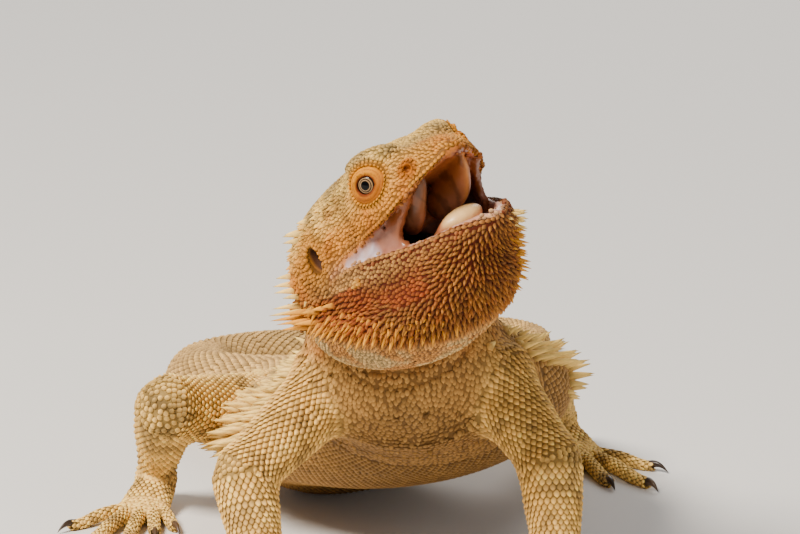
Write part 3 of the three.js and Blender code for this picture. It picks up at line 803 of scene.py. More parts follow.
def surface_net(low, grid):
    """Quads where the grid changes sign: one point in each crossed cell."""
    inside = grid < 0
    shape = np.array(grid.shape) - 1
    total = np.zeros((*shape, 3))
    count = np.zeros(tuple(shape), int)
    for axis in range(3):
        others = [a for a in range(3) if a != axis]
        for p in (0, 1):
            for q in (0, 1):
                start = np.zeros(3, int)
                start[others] = p, q
                near, far = window(start, shape), window(start + (np.arange(3) == axis), shape)
                crossed = inside[near] != inside[far]
                a, b = grid[near][crossed], grid[far][crossed]
                at = np.zeros((crossed.sum(), 3))
                at[:, others[0]], at[:, others[1]] = p, q
                at[:, axis] = a / (a - b)
                total[crossed] += at
                count[crossed] += 1
    cells = np.argwhere(count > 0)
    number = -np.ones(tuple(shape), int)
    number[tuple(cells.T)] = np.arange(len(cells))
    points = low + (cells + total[tuple(cells.T)] / count[tuple(cells.T)][:, None]) * CELL
    quads = []
    for axis in range(3):
        b, c = (axis + 1) % 3, (axis + 2) % 3
        along = np.arange(3) == axis
        start = (~along).astype(int)
        first, second = inside[window(start, shape - start)], inside[window(start + along, shape - start)]
        at = np.argwhere(first != second) + start
        corner = []
        for db, dc in ((-1, -1), (0, -1), (0, 0), (-1, 0)):
            cell = at.copy()
            cell[:, b] += db
            cell[:, c] += dc
            corner.append(number[tuple(cell.T)])
        quad = np.stack(corner, 1)
        grows = first[first != second]
        quads.append(np.where(grows[:, None], quad, quad[:, ::-1]))
    return points, np.vstack(quads)


def to_part(points):
    return (points - MIDDLE) / 1000


def new_object(name, points, faces):
    """A mesh object from points in the body's frame (mm) and faces of one size or a list of them."""
    mesh = bpy.data.meshes.new(name)
    if isinstance(faces, np.ndarray):
        sides = faces.shape[1]
        mesh.vertices.add(len(points))
        mesh.vertices.foreach_set("co", to_part(points).astype(np.float32).ravel())
        mesh.loops.add(faces.size)
        mesh.loops.foreach_set("vertex_index", faces.astype(np.int32).ravel())
        mesh.polygons.add(len(faces))
        mesh.polygons.foreach_set("loop_start", (np.arange(len(faces)) * sides).astype(np.int32))
        mesh.update(calc_edges=True)
        mesh.validate()
    else:
        mesh.from_pydata([tuple(p) for p in to_part(points)], [], faces)
    mesh.polygons.foreach_set("use_smooth", np.ones(len(mesh.polygons), bool))
    obj = bpy.data.objects.new(name, mesh)
    bpy.context.scene.collection.objects.link(obj)
    return obj


def mesh_points(mesh):
    co = np.empty(len(mesh.vertices) * 3, np.float32)
    mesh.vertices.foreach_get("co", co)
    return co.reshape(-1, 3).astype(float) * 1000 + MIDDLE


def set_points(mesh, points):
    mesh.vertices.foreach_set("co", to_part(points).astype(np.float32).ravel())
    mesh.update()


def refine(obj, wanted):
    """Cuts the faces whose middles are wanted into four."""
    bm = bmesh.new()
    bm.from_mesh(obj.data)
    middles = np.array([f.calc_center_median()[:] for f in bm.faces]) * 1000 + MIDDLE
    chosen = wanted(middles)
    edges = {e for f, yes in zip(bm.faces, chosen) if yes for e in f.edges}
    bmesh.ops.subdivide_edges(bm, edges=list(edges), cuts=1, use_grid_fill=True)
    bm.to_mesh(obj.data)
    bm.free()


def in_front(p):
    h = to_head(p)
    return (h[:, 0] > -9) & (np.abs(h[:, 1]) < 23) & (h[:, 2] > -33)


def fine_places(p):
    """The eyes, ears and nostrils."""
    return (eye_gap(p) < 3.2) | (ear_gap(p) < 2) | (nose_gap(p) < 3)


def make_skin():
    points, quads = surface_net(*skin_grid())
    obj = new_object("skin", settle(points, 2)[0], quads)
    for wanted, rounds in ((in_front, 2), (fine_places, 3)):
        refine(obj, wanted)
        points, _ = settle(mesh_points(obj.data), rounds)
        set_points(obj.data, points)
    return obj, points


skin, skin_points = make_skin()

# ---------------------------------------------------------------- one scale, spine or plate


def leaf(rows, tail_lift=0.0):
    """A closed scale: its root at y = -0.5, its tip at y = 0.6, wide along x, and raised along z.

    rows are (y, half width, edge height, shoulder height, keel height) from root to tip.
    """
    points = [(0, -0.5, -0.25)]
    for y, half, edge, shoulder, keel in rows:
        points += [(-half, y, edge), (-0.55 * half, y, shoulder), (0, y, keel)]
        points += [(0.55 * half, y, shoulder), (half, y, edge)]
    tip = len(points)
    points.append((0, 0.6, 0.25 + tail_lift))
    under = tip + 1
    points.append((0, 0.05, -0.35))
    tris = []
    for c in range(4):
        tris.append((0, 1 + c + 1, 1 + c))
        for r in range(len(rows) - 1):
            a, b = 1 + 5 * r + c, 1 + 5 * (r + 1) + c
            tris += [(a, a + 1, b + 1), (a, b + 1, b)]
        a = 1 + 5 * (len(rows) - 1) + c
        tris.append((a, a + 1, tip))
    first = [1 + 5 * r for r in range(len(rows))]
    rim = [0, *first, tip, *(a + 4 for a in reversed(first))]
    tris += [(rim[i], rim[(i + 1) % len(rim)], under) for i in range(len(rim))]
    return np.array(points, float), np.array(tris)


def dome(sides=7, levels=((1.0, -0.1), (0.86, 0.5), (0.5, 0.88))):
    """A closed round plate of radius 0.5."""
    points = []
    for radius, height in levels:
        for k in range(sides):
            a = 2 * math.pi * k / sides
            points.append((0.5 * radius * math.cos(a), 0.5 * radius * math.sin(a), height))
    points += [(0, 0, 1), (0, 0, -0.4)]
    top, under = len(points) - 2, len(points) - 1
    tris = []
    for k in range(sides):
        n = (k + 1) % sides
        for level in range(len(levels) - 1):
            a, b = level * sides, (level + 1) * sides
            tris += [(a + k, a + n, b + n), (a + k, b + n, b + k)]
        last = (len(levels) - 1) * sides
        tris.append((last + k, last + n, top))
        tris.append((n, k, under))
    return np.array(points, float), np.array(tris)


def thorn(sides=6, bends=((0, 0.5, 0), (0.3, 0.36, 0.05), (0.65, 0.19, 0.03))):
    """A closed spine along y from 0 to 1, with a root of radius 0.5."""
    points = [(0, -0.15, 0)]
    for y, radius, lift in bends:
        for k in range(sides):
            a = 2 * math.pi * k / sides
            points.append((radius * math.cos(a), y, lift + radius * math.sin(a)))
    tip = len(points)
    points.append((0, 1, -0.04))
    tris = []
    for k in range(sides):
        n = (k + 1) % sides
        tris.append((0, 1 + k, 1 + n))
        for level in range(len(bends) - 1):
            a, b = 1 + level * sides, 1 + (level + 1) * sides
            tris += [(a + k, b + k, b + n), (a + k, b + n, a + n)]
        last = 1 + (len(bends) - 1) * sides
        tris.append((last + k, tip, last + n))
    return np.array(points, float), np.array(tris)


KEELED = leaf(
    [(-0.3, 0.36, -0.1, 0.18, 0.45), (0.0, 0.5, -0.05, 0.3, 0.75), (0.3, 0.34, 0.08, 0.4, 0.9)],
    tail_lift=0.15,
)
SMOOTH = leaf([(-0.3, 0.4, -0.1, 0.3, 0.42), (0.0, 0.5, -0.05, 0.5, 0.68), (0.3, 0.36, 0.1, 0.5, 0.66)])
POINTED = leaf(
    [(-0.3, 0.38, -0.1, 0.3, 0.6), (-0.02, 0.46, 0.0, 0.5, 0.95), (0.26, 0.26, 0.35, 0.72, 1.15)],
    tail_lift=0.75,
)
GRAIN = dome()
THORN = thorn()

# ---------------------------------------------------------------- where the scales grow


class Sites:
    """Places where scales grow: on the skin, with the skin's direction, the lie and each scale's size."""

    def __init__(self, at, out, lie, length, width, thick, lift=0.0, chart=None):
        n = len(at)
        self.at, self.out = at, out
        self.lie = unit(lie - out * dot(lie, out)[:, None])
        self.length = np.broadcast_to(np.asarray(length, float), n).copy()
        self.width = np.broadcast_to(np.asarray(width, float), n).copy()
        self.thick = np.broadcast_to(np.asarray(thick, float), n).copy()
        self.lift = np.broadcast_to(np.asarray(lift, float), n).copy()
        self.chart = np.zeros((n, 2)) if chart is None else chart
        self.pointed = np.zeros(n)

    def keep(self, wanted):
        for key, value in list(vars(self).items()):
            setattr(self, key, value[wanted])
        return self


def joined(groups):
    groups = [g for g in groups if len(g.at)]
    out = groups[0].keep(np.ones(len(groups[0].at), bool))
    for key in list(vars(out)):
        setattr(out, key, np.concatenate([getattr(g, key) for g in groups]))
    return out


def section_points(tube, s, count, shift, local):
    """Points round one section of a tube, from its left side over the top, spaced by local(angle)."""
    i = min(int(s), len(tube.t) - 2)
    w = s - i

    def pick(values):
        return values[i] * (1 - w) + values[i + 1] * w

    half, above, below = pick(tube.size)
    a = np.linspace(0, 2 * math.pi, 121)
    x, z = half * np.cos(a), np.where(np.sin(a) > 0, above, below) * np.sin(a)
    step = np.hypot(np.diff(x), np.diff(z)) / local((a[1:] + a[:-1]) / 2)
    run = np.concatenate([[0], np.cumsum(step)])
    want = (np.arange(count) + shift) / count * run[-1]
    angle = np.interp(want, run, a)
    x = half * np.cos(angle)
    z = np.where(np.sin(angle) > 0, above, below) * np.sin(angle)
    at = pick(tube.centre) + x[:, None] * pick(tube.side) + z[:, None] * pick(tube.top)
    return at, angle, run[-1]


def lattice(tube, width, pitch):
    """Rows of places round a tube, each row half a scale out of step with the one before.

    width is a number or gives the scales' width from (t, angle).
    """
    last = len(tube.t) - 1
    s, row, count = 0.0, 0, None
    places, charts, ways, sizes = [], [], [], []
    while s <= last:
        i = int(min(s, last))
        local = (lambda a: width(tube.t[i], a)) if callable(width) else (lambda a: np.full(len(a), width))
        around = section_points(tube, s, 4, 0, local)[2]
        ideal = max(5, around)
        if count is None or abs(ideal / count - 1) > 0.1:
            count = round(ideal)
        at, angle, around = section_points(tube, s, count, 0.5 * (row % 2), local)
        widths = local(angle) * around / count
        places.append(at)
        charts.append(np.stack([angle / (2 * math.pi), np.full(count, s / last)], 1))
        ways.append(np.tile(tube.along[i], (count, 1)))
        sizes.append(widths)
        s += widths.mean() * pitch / tube.pitch[i]
        row += 1
    return np.vstack(places), np.vstack(charts), np.vstack(ways), np.concatenate(sizes)


REGIONS = {
    "head": [upper_head, *cheeks, *brows, *rims],
    "jaw": [lower_jaw],
    "beard": [beard],
    "neck": [neck],
    "trunk": [trunk],
    "tail": [tail],
}
for limb_name, limb in limbs.items():
    REGIONS[limb_name + "_upper"] = [limb.upper, limb.knob]
    REGIONS[limb_name + "_lower"] = [limb.lower, limb.wrist]
    REGIONS[limb_name + "_paw"] = [limb.sole, *limb.toes]
REGION_NAMES = list(REGIONS)


def region_distances(p):
    return np.stack([np.min([near_only(s, p) for s in shapes], axis=0) for shapes in REGIONS.values()], 1)


def owned(p, *names, slack=0.25):
    """Whether places are as near to one of the named regions as to any other."""
    d = region_distances(p)
    return d[:, [REGION_NAMES.index(name) for name in names]].min(1) <= d.min(1) + slack


def mouth_measures(p):
    """Places in the head's frame with its half width and lip there, and the same for the jaw."""
    f, l, u = to_head(p).T
    jf, jl, ju = to_jaw(p).T
    half, _, lip, _, _ = upper_head.row(f)
    jaw_half, rim, _, _ = lower_jaw.row(jf)
    return (f, l, u, half, lip), (jf, jl, ju, jaw_half, rim)


def mouth_share(p):
    """1 in the lining of the mouth, 0 on the scaled skin, from place alone."""
    (f, l, u, half, lip), (jf, jl, ju, jaw_half, rim) = mouth_measures(p)
    palate = (u < palate_height(f, l) + 0.9) & (np.abs(l) < half - 1.2) & (u > lip - 2.5) & (f < 40.8)
    bed = (ju > bed_height(jf, jl) - 0.9) & (np.abs(jl) < jaw_half - 1.2) & (ju < rim + 2.4) & (jf < 40.6)
    between = (u < lip + 0.2) & (ju > rim - 0.2) & ((np.abs(l) < half - 0.6) | (f > 10.5))
    return ((palate | bed | between) & (f > 1.0)).astype(float)


def bare(p):
    """Places with no scales: the mouth, the lips' edges, the lids, the ears and nostrils."""
    smooth = (eye_gap(p) < 1.98) | (ear_gap(p) < 1.05) | (nose_gap(p) < 1.4)
    return (mouth_share(p) > 0.5) | smooth | on_lip_edge(p)


def on_lip_edge(p):
    """Whether places are on the smooth edge of a lip."""
    (f, l, u, half, lip), (jf, jl, ju, jaw_half, rim) = mouth_measures(p)
    upper = (u > lip - 1.5) & (u < lip + 1.0) & (np.abs(l) > half - 2.4) & (f > 9) & (ju > rim)
    lower = (ju > rim - 0.35) & (ju < rim + 1.2) & (np.abs(jl) > jaw_half - 2.4) & (jf > 9) & (u < lip)
    return upper | lower


def in_ring(p):
    """Places that the neat rings of scales round the lids, nostrils and ears take."""
    return (eye_gap(p) < 3.0) | (ear_gap(p) < 1.42) | (nose_gap(p) < 2.35)


CLOSEST = 0.82  # the least gap between two places, as a share of their size
AROUND = [(dx, dy, dz) for dx in (-1, 0, 1) for dy in (-1, 0, 1) for dz in (-1, 0, 1)]


def square(d):
    return d[0] * d[0] + d[1] * d[1] + d[2] * d[2]


def tree_of(sites):
    """The places in a tree that finds the nearest one."""
    tree = kdtree.KDTree(len(sites))
    for k, q in enumerate(sites):
        tree.insert(q, k)
    tree.balance()
    return tree


def nearest_gap(p, sites):
    tree = tree_of(sites)
    return np.array([tree.find(q)[2] for q in p])


def spread_places(p, size, rounds=2):
    """Picks places about `size` apart among dense points of the skin, then evens them out."""
    taken = {}
    chosen = []
    keys = np.floor(p / float(size.max())).astype(int)
    for i in rng.permutation(len(p)):
        x, y, z = keys[i]
        r = size[i] * CLOSEST
        near = (j for dx, dy, dz in AROUND for j in taken.get((x + dx, y + dy, z + dz), ()))
        if not any(square(p[i] - p[j]) < r * r for j in near):
            taken.setdefault((x, y, z), []).append(i)
            chosen.append(i)
    sites = p[chosen]
    for _ in range(rounds):
        tree = tree_of(sites)
        owner = np.array([tree.find(q)[1] for q in p])
        count = np.bincount(owner, minlength=len(sites))
        middle = np.stack([np.bincount(owner, p[:, a], len(sites)) for a in range(3)], 1)
        sites = np.where(count[:, None] > 0, middle / np.maximum(count, 1)[:, None], sites)
    return sites


def place(region, tube, width, pitch, long, thick, lift):
    """Scales in rows along a tube, on the skin of `region`. Sizes are shares of the width."""
    at, chart, ways, sizes = lattice(tube, width, pitch)
    shown = flesh(at) > -1.8
    at, chart, ways, sizes = at[shown], chart[shown], ways[shown], sizes[shown]
    at, out = settle(at)
    length, angle = sizes * pitch * long, math.radians(lift)
    sites = Sites(at, out, ways, length, sizes * 1.12, sizes * thick, angle, chart)
    return sites.keep(owned(at, region) & ~bare(at))


def head_chart(p):
    h = to_head(p)
    angle = np.arctan2(h[:, 2] - 3, h[:, 1])
    return np.stack([(angle + math.pi) / (2 * math.pi), np.clip((h[:, 0] + 12) / 58, 0, 1)], 1)


def plate_size(p):
    """How wide the upper head's plates are: finest by the lids and nostrils, largest on the crown."""
    h = to_head(p)
    size = 0.94 + 0.3 * smoothstep(h[:, 2], 10, 15) + 0.18 * smoothstep(h[:, 0], 12, 2)
    size = np.minimum(size, 0.62 + 0.3 * np.clip(eye_gap(p) - 2, 0, 2))
    return np.minimum(size, 0.55 + 0.25 * np.clip(nose_gap(p) - 1.5, 0, 2))


def chin_size(p):
    """How wide the jaw's and the pouch's scales are: finest at the lip, largest at the fringe."""
    q = fringe_height(p)
    u = to_jaw(p)[:, 2]
    size = 0.86 + 0.1 * smoothstep(-u, 1, 6)
    return size + 0.16 * peak(q, 2.5, 3.5) - 0.08 * smoothstep(q, 0, -3)


def scattered(names, size, copies):
    """Places spread evenly over the skin of some regions, with the way out and each place's own size.

    They are picked among the skin's points and as many moved copies of them as `copies` says.
    """
    ours = owned(skin_points, *names, slack=0.15)
    p = skin_points[ours & ~bare(skin_points) & ~in_ring(skin_points)]
    moved = np.repeat(p, copies, 0) + 1.2 * CELL * (rng.random((copies * len(p), 3)) - 0.5)
    p = np.vstack([p, settle(moved, 1)[0]])
    at = spread_places(p, size(p))
    at, out = settle(at, 2)
    return at, out, size(at)


def face_size(p):
    return np.where(owned(p, "head", slack=0.1), 0.86 * plate_size(p), chin_size(p))


def face_sites():
    """Plates of the upper head, and the scales from the lower lip down over the pouch."""
    at, out, size = scattered(["head", "jaw", "beard"], face_size, 1)
    on_head = owned(at, "head", slack=0.1)
    stray = 0.5 * (rng.random((len(at), 3)) - 0.5)
    chart = head_chart(at)
    h = to_head(at)
    rough = rough_noise(at, 2.6, 41)
    temple = smoothstep(h[:, 0], 22, 16) * smoothstep(h[:, 2], 13, 10) * smoothstep(rough, 0.45, 0.75)
    length, thick = size * (1.45 + 0.3 * temple), 0.1 + 0.24 * size * (1 + temple)
    lift = np.radians(6 + 14 * temple)
    plates = Sites(at, out, stray - forward, length, size * 1.12, thick, lift, chart)
    q = fringe_height(at)
    f, _, u = head_to_jaw(h).T
    lie = mix(turn_from_jaw((-1.0, 0, -0.1)), turn_from_jaw((-0.8, 0, -0.6)), smoothstep(q, 8, 1))
    fringe = peak(q, 0, 2.6) * smoothstep(-u, 5, 9)
    upper = smoothstep(q, 11, 3) * smoothstep(q, -4.5, -0.5)
    ahead = smoothstep(f, 24, 34) * smoothstep(-u, 2.5, 6) * smoothstep(q, -2, 1)
    upper = np.maximum(upper, 0.8 * ahead)
    length = size * (1.3 + 0.45 * upper + 0.5 * fringe + 0.3 * ahead)
    length = length * (1 + 0.3 * upper * (rng.random(len(at)) - 0.5))
    lift = np.radians(5 + 14 * upper + 8 * fringe + 10 * ahead)
    thick = size * (0.28 + 0.22 * upper)
    chin = Sites(at, out, lie + 0.2 * stray, length, size * (1.16 - 0.06 * upper), thick, lift, chart)
    chin.pointed = np.clip(upper + fringe, 0, 1)
    return joined([plates.keep(on_head), ring_sites()]), chin.keep(~on_head)


def fringe_height(p):
    """How far above the line of the pouch's longest spines a place is, in the jaw's frame."""
    f, _, u = to_jaw(p).T
    return u + FRINGE_DROP + FRINGE_SLOPE * np.clip(f, *FRINGE_SPAN)


def soft_sites(region, size, low, across):
    """The small flat scales of the neck or the chest, which hang down. low and across place the chart."""
    at, out, size = scattered([region], size, 3)
    lie = np.array((0, 0.25, -1.0)) + 0.15 * (rng.random((len(at), 3)) - 0.5)
    chart = np.stack([(at[:, 0] + across / 2) / across, (at[:, 2] - low) / 70], 1)
    return Sites(at, out, lie, size * 1.5, size * 1.3, size * 0.17, math.radians(4), chart)


def neck_sites():
    return soft_sites("neck", lambda p: np.full(len(p), 0.98), 20, 60)


def chest_sites():
    """The scales between the shoulders. Behind them, where rows take over, few places are tried."""
    sites = soft_sites("trunk", lambda p: np.where(p[:, 1] < CHEST_END + 4, 1.02, 4.0), 0, 80)
    return sites.keep(sites.at[:, 1] < CHEST_END)


def ring(middle, turn_angle, radii, share, count, size):
    """Scales set side by side round an opening of the head, on both sides of it."""
    groups = []
    for s in (-1, 1):
        out_of_step = 0.5 * (round(share * 20) % 2)
        a = 2 * math.pi * (np.arange(count) + out_of_step) / count
        axis = np.array((math.cos(turn_angle), -s * math.sin(turn_angle), 0))
        away = np.array((math.sin(turn_angle), s * math.cos(turn_angle), 0))
        across = radii[0] * share * np.cos(a)[:, None] * axis
        up = radii[1] * share * np.sin(a)[:, None] * np.array((0, 0, 1))
        start = np.array((middle[0], s * middle[1], middle[2])) + across + up
        line = start[:, None] + np.arange(-4, 6, 0.15)[None, :, None] * away
        outside = flesh(from_head(line.reshape(-1, 3))).reshape(count, -1) > 0
        last = outside.shape[1] - 1 - (~outside[:, ::-1]).argmax(1)
        found = (~outside).any(1)
        at = from_head(line[np.arange(count), last])[found]
        at, out = settle(at, 2)
        lie = turn_from_head(unit(across + up))[found]
        sizes = (size * 1.25, size * 1.15, size * 0.34)
        groups.append(Sites(at, out, lie, *sizes, math.radians(4), head_chart(at)))
    return groups


def ring_sites():
    openings = (
        (EYE_AT, EYE_DEGREES, LID_OPENING, LID_RINGS, 0.84),
        (NOSTRIL_AT, NOSE_DEGREES, (1, 1), NOSTRIL_RINGS, 0.85),
        (EAR_AT, 0, EAR_OPENING, EAR_RINGS, 1.0),
    )
    groups = []
    for middle, degrees, radii, rings, size in openings:
        for share, count in rings:
            groups += ring(middle, math.radians(degrees), radii, share, count, size)
    return joined(groups)


def lip_sites():
    """The larger plates along both lips."""
    groups = []
    for jaw in (False, True):
        shape = lower_jaw if jaw else upper_head
        f = np.linspace(3, 41.5, 2000)
        row = shape.row(f)
        half, edge = row[0] - 0.35, (row[1] - 0.95 if jaw else row[2] + 1.5)
        for s in (-1, 1):
            path = np.stack([f, s * half, edge], 1)
            run = np.concatenate([[0], np.cumsum(np.linalg.norm(np.diff(path, axis=0), axis=1))])
            want = np.arange(0.6, run[-1], 1.25 if jaw else 1.05)
            p = np.stack([np.interp(want, run, path[:, c]) for c in range(3)], 1)
            way = np.stack([np.interp(want, run, np.gradient(path[:, c])) for c in range(3)], 1)
            at = from_jaw(p) if jaw else from_head(p)
            lie = turn_from_jaw(-way) if jaw else turn_from_head(-way)
            at, out = settle(at)
            long, wide = (1.4, 1.1) if jaw else (1.2, 0.95)
            groups.append(Sites(at, out, lie, long, wide, 0.24, 0, head_chart(at)))
    return joined(groups)


def trunk_width(_, angle):
    """Small scales under the chest and belly, larger ones on the back."""
    return 1.42 + 0.5 * smoothstep(np.sin(angle), -0.3, 0.5)


def tail_width(t, angle):
    return np.full(len(angle), max(0.9, 2.0 - 1.1 * t))


def all_sites():
    head, chin = face_sites()
    sites = {"lips": lip_sites(), "head": head, "chin": chin}
    sites["neck"] = neck_sites()
    sites["chest"] = chest_sites()
    sites["trunk"] = place("trunk", trunk, trunk_width, pitch=0.82, long=1.4, thick=0.28, lift=4)
    sites["trunk"].keep(sites["trunk"].at[:, 1] > CHEST_END + 0.4)
    sites["tail"] = place("tail", tail, tail_width, pitch=0.9, long=1.4, thick=0.3, lift=5)
    on_leg = {"pitch": 0.82, "long": 1.5, "thick": 0.36, "lift": 9}
    for name, limb in limbs.items():
        big = 1.42 if "arm" in name else 1.4
        sites[name + "_upper"] = place(name + "_upper", limb.upper, big, **on_leg)
        sites[name + "_lower"] = place(name + "_lower", limb.lower, big * 0.97, **on_leg)
        paw = name + "_paw"
        on_paw = [place(paw, limb.sole, 1.2, pitch=0.82, long=1.4, thick=0.32, lift=5)]
        on_paw += [place(paw, toe, 1.1, pitch=1.0, long=1.35, thick=0.3, lift=5) for toe in limb.toes]
        sites[paw] = joined(on_paw)
    for name, apart in (("head", 0.7), ("chin", 0.8)):
        sites[name].keep(nearest_gap(sites[name].at, sites["lips"].at) > apart)
    return sites


def grain_size(name):
    if "paw" in name or name in ("head", "jaw", "beard"):
        return 1.0
    return 1.5 if name in ("trunk", "tail") else 1.25


def fill_sites(sites):
    """Small grains where two rows of scales don't quite meet."""
    everywhere = np.vstack([s.at for s in sites.values()])
    pick = ~bare(skin_points) & (skin_points[:, 2] > GROUND + 0.2) & ~in_ring(skin_points)
    p = skin_points[pick]
    p = np.vstack([p, settle(p + 1.2 * CELL * (rng.random(p.shape) - 0.5), 1)[0]])
    gap = nearest_gap(p, everywhere)
    sizes = np.array([grain_size(n) for n in REGION_NAMES])
    grain = sizes[region_distances(p).argmin(1)]
    free = gap > grain * 0.75
    at = spread_places(p[free], grain[free], 1)
    at, out = settle(at, 2)
    owner = region_distances(at).argmin(1)
    size = sizes[owner]
    chart = np.stack([(at[:, 0] + 80) / 160, (at[:, 1] + 40) / 290], 1)
    lie = np.tile((0.0, 1.0, -0.1), (len(at), 1))
    filled = Sites(at, out, lie, size * 1.15, size * 1.15, size * 0.3, 0, chart)
    return filled, owner


# ---------------------------------------------------------------- colours by place

CREAM = rgb(240, 196, 110)
RED = rgb(122, 36, 2)
GREY = rgb(104, 88, 66)


def head_colour(p):
    f, _, u = to_head(p).T
    eye, nose, ear = eye_gap(p), nose_gap(p), ear_gap(p)
    c = mix(rgb(194, 122, 34), rgb(208, 168, 88), smoothstep(u, 3, 12))
    c = mix(c, rgb(122, 70, 22), 0.95 * smoothstep(u, 3.5, -3))
    c = mix(c, rgb(184, 122, 40), smoothstep(f, 24, 36) * 0.8 * smoothstep(u, 13, 9))
    c = mix(c, rgb(170, 84, 12), 0.5 * patches(p, 4, 3, 0.5, 0.75) * smoothstep(u, 12, 8))
    c = mix(c, GREY, 0.6 * patches(p, 6, 8, 0.42, 0.66) * smoothstep(u, 8, 12))
    c = mix(c, rgb(120, 72, 26), 0.6 * patches(p, 3.4, 14, 0.56, 0.72) * smoothstep(f, 22, 14))
    c = mix(c, rgb(176, 112, 14), smoothstep(eye, 3.1, 2.2))
    high = smoothstep(u - EYE_AT[2] + 1.2 * rough_noise(p, 1.6, 9), -1.5, 3.5)
    lid = mix(rgb(150, 84, 2), rgb(200, 128, 2), high)
    lid = mix(lid, rgb(100, 40, 6), smoothstep(eye, 1.38, 1.05))
    c = mix(c, lid, smoothstep(eye, 2.1, 1.9))
    # Painted shade: dark rings in the lid's folds and in the groove round it.
    for share, depth in ((1.42, 0.6), (1.7, 0.7), (2.0, 0.8)):
        c = mix(c, rgb(112, 46, 4), depth * peak(eye, share, 0.05))
    c = mix(c, rgb(166, 92, 10), smoothstep(nose, 2.9, 1.9))
    # Painted shade: the nostril is darkest inside its opening.
    c = mix(c, rgb(60, 22, 4), smoothstep(nose, 0.9, 0.6))
    c = mix(c, rgb(166, 104, 26), 0.8 * smoothstep(ear, 3.2, 1.6))
    # Painted shade: the ear is darkest deep in its pit.
    c = mix(c, rgb(58, 30, 12), smoothstep(ear, 1.2, 0.9))
    lip = mix(rgb(160, 90, 26), rgb(176, 104, 50), rough_noise(p, 3, 38))
    above_lip = u - upper_head.row(f)[2]
    return mix(c, lip, smoothstep(above_lip, 1.15, 0.85) * (f > 5))


def beard_colour(p):
    f, _, u = to_jaw(p).T
    q = fringe_height(p)
    c = mix(rgb(150, 98, 46), rgb(112, 60, 22), smoothstep(u, -1, -7))
    pale = mix(rgb(176, 134, 76), rgb(146, 104, 58), rough_noise(p, 1.6, 43))
    c = mix(c, pale, 0.85 * smoothstep(f, 36, 8) * smoothstep(u, -6.5, -2.5))
    rear = smoothstep(u, -2.7, -3.5)
    # Towards the chin, one value holds for all the places of a call: that of the first of them.
    ahead = smoothstep(q[0], 12, 5) * (1 - 0.5 * smoothstep(f[0], 20, 32))
    red = rear + (ahead - rear) * smoothstep(f, 9, 18)
    c = mix(c, RED, 0.9 * red * smoothstep(q, -2.0, 0.5))
    c = mix(c, rgb(186, 128, 70), smoothstep(q, -0.5, -3))
    c = mix(c, rgb(206, 176, 120), smoothstep(q, -2, -5) * patches(p, 5, 6, 0.4, 0.6))
    c = mix(c, rgb(146, 52, 4), 0.3 * patches(p, 2.6, 5, 0.5, 0.75) * smoothstep(u, -5, -9))
    rim = lower_jaw.row(f)[1]
    return mix(c, rgb(186, 142, 104), smoothstep(rim - u, 0.6, 0.3) * (f > 5))


def trunk_colour(p):
    _, x, z, size, _ = trunk.near(p)
    angle = np.arctan2(z / size[:, 1], np.abs(x) / size[:, 0])
    back = smoothstep(angle, 0.1, 0.9) * smoothstep(p[:, 1], 14, 26)
    c = mix(rgb(166, 120, 62), rgb(142, 102, 52), smoothstep(angle, -0.6, -1.2))
    dark = mix(rgb(206, 166, 104), rgb(98, 84, 64), patches(p, 6, 12, 0.46, 0.6))
    c = mix(c, dark, back * 0.95)
    return mix(c, CREAM, 0.8 * back * patches(p, 5, 21, 0.58, 0.7))


def neck_colour(p):
    _, x, z, size, _ = neck.near(p)
    c = mix(rgb(180, 126, 62), rgb(156, 84, 28), patches(p, 5, 15, 0.45, 0.75))
    nape = smoothstep(np.arctan2(z / size[:, 1], np.abs(x) / size[:, 0]), -0.3, 0.5)
    mottled = mix(rgb(200, 158, 96), rgb(112, 92, 66), patches(p, 5, 44, 0.48, 0.6))
    return mix(c, mottled, nape)


def arm_colour(p):
    c = mix(rgb(212, 160, 78), rgb(244, 198, 112), rough_noise(p, 6, 17))
    return mix(c, rgb(128, 96, 62), 0.5 * patches(p, 3, 19, 0.54, 0.72))


def leg_colour(p):
    c = mix(rgb(236, 190, 104), CREAM, 0.6 * rough_noise(p, 6, 23))
    return mix(c, rgb(120, 94, 60), 0.6 * patches(p, 4, 25, 0.56, 0.7))


def tail_colour(p):
    s = tail.near(p)[0]
    c = mix(rgb(206, 162, 104), CREAM, 0.5 * rough_noise(p, 8, 27))
    band = 0.5 + 0.5 * np.sin(s * 0.42)
    return mix(c, rgb(146, 116, 76), 0.4 * band * patches(p, 6, 29, 0.35, 0.6))


def region_colour(name):
    if name == "head":
        return head_colour
    if name in ("jaw", "beard"):
        return beard_colour
    if name == "neck":
        return neck_colour
    if name == "trunk":
        return trunk_colour
    if name == "tail":
        return tail_colour
    return arm_colour if name.startswith("arm") else leg_colour


def markings(p):
    """The colour of the hide at each place, the same for skin and scales."""
    d = region_distances(p)
    share = np.exp(-(d - d.min(1, keepdims=True)) / 1.2)
    share[share < 0.02] = 0
    share /= share.sum(1, keepdims=True)
    c = np.zeros((len(p), 3))
    for k, name in enumerate(REGION_NAMES):
        used = share[:, k] > 0
        if used.any():
            c[used] += region_colour(name)(p[used]) * share[used, k][:, None]
    return c


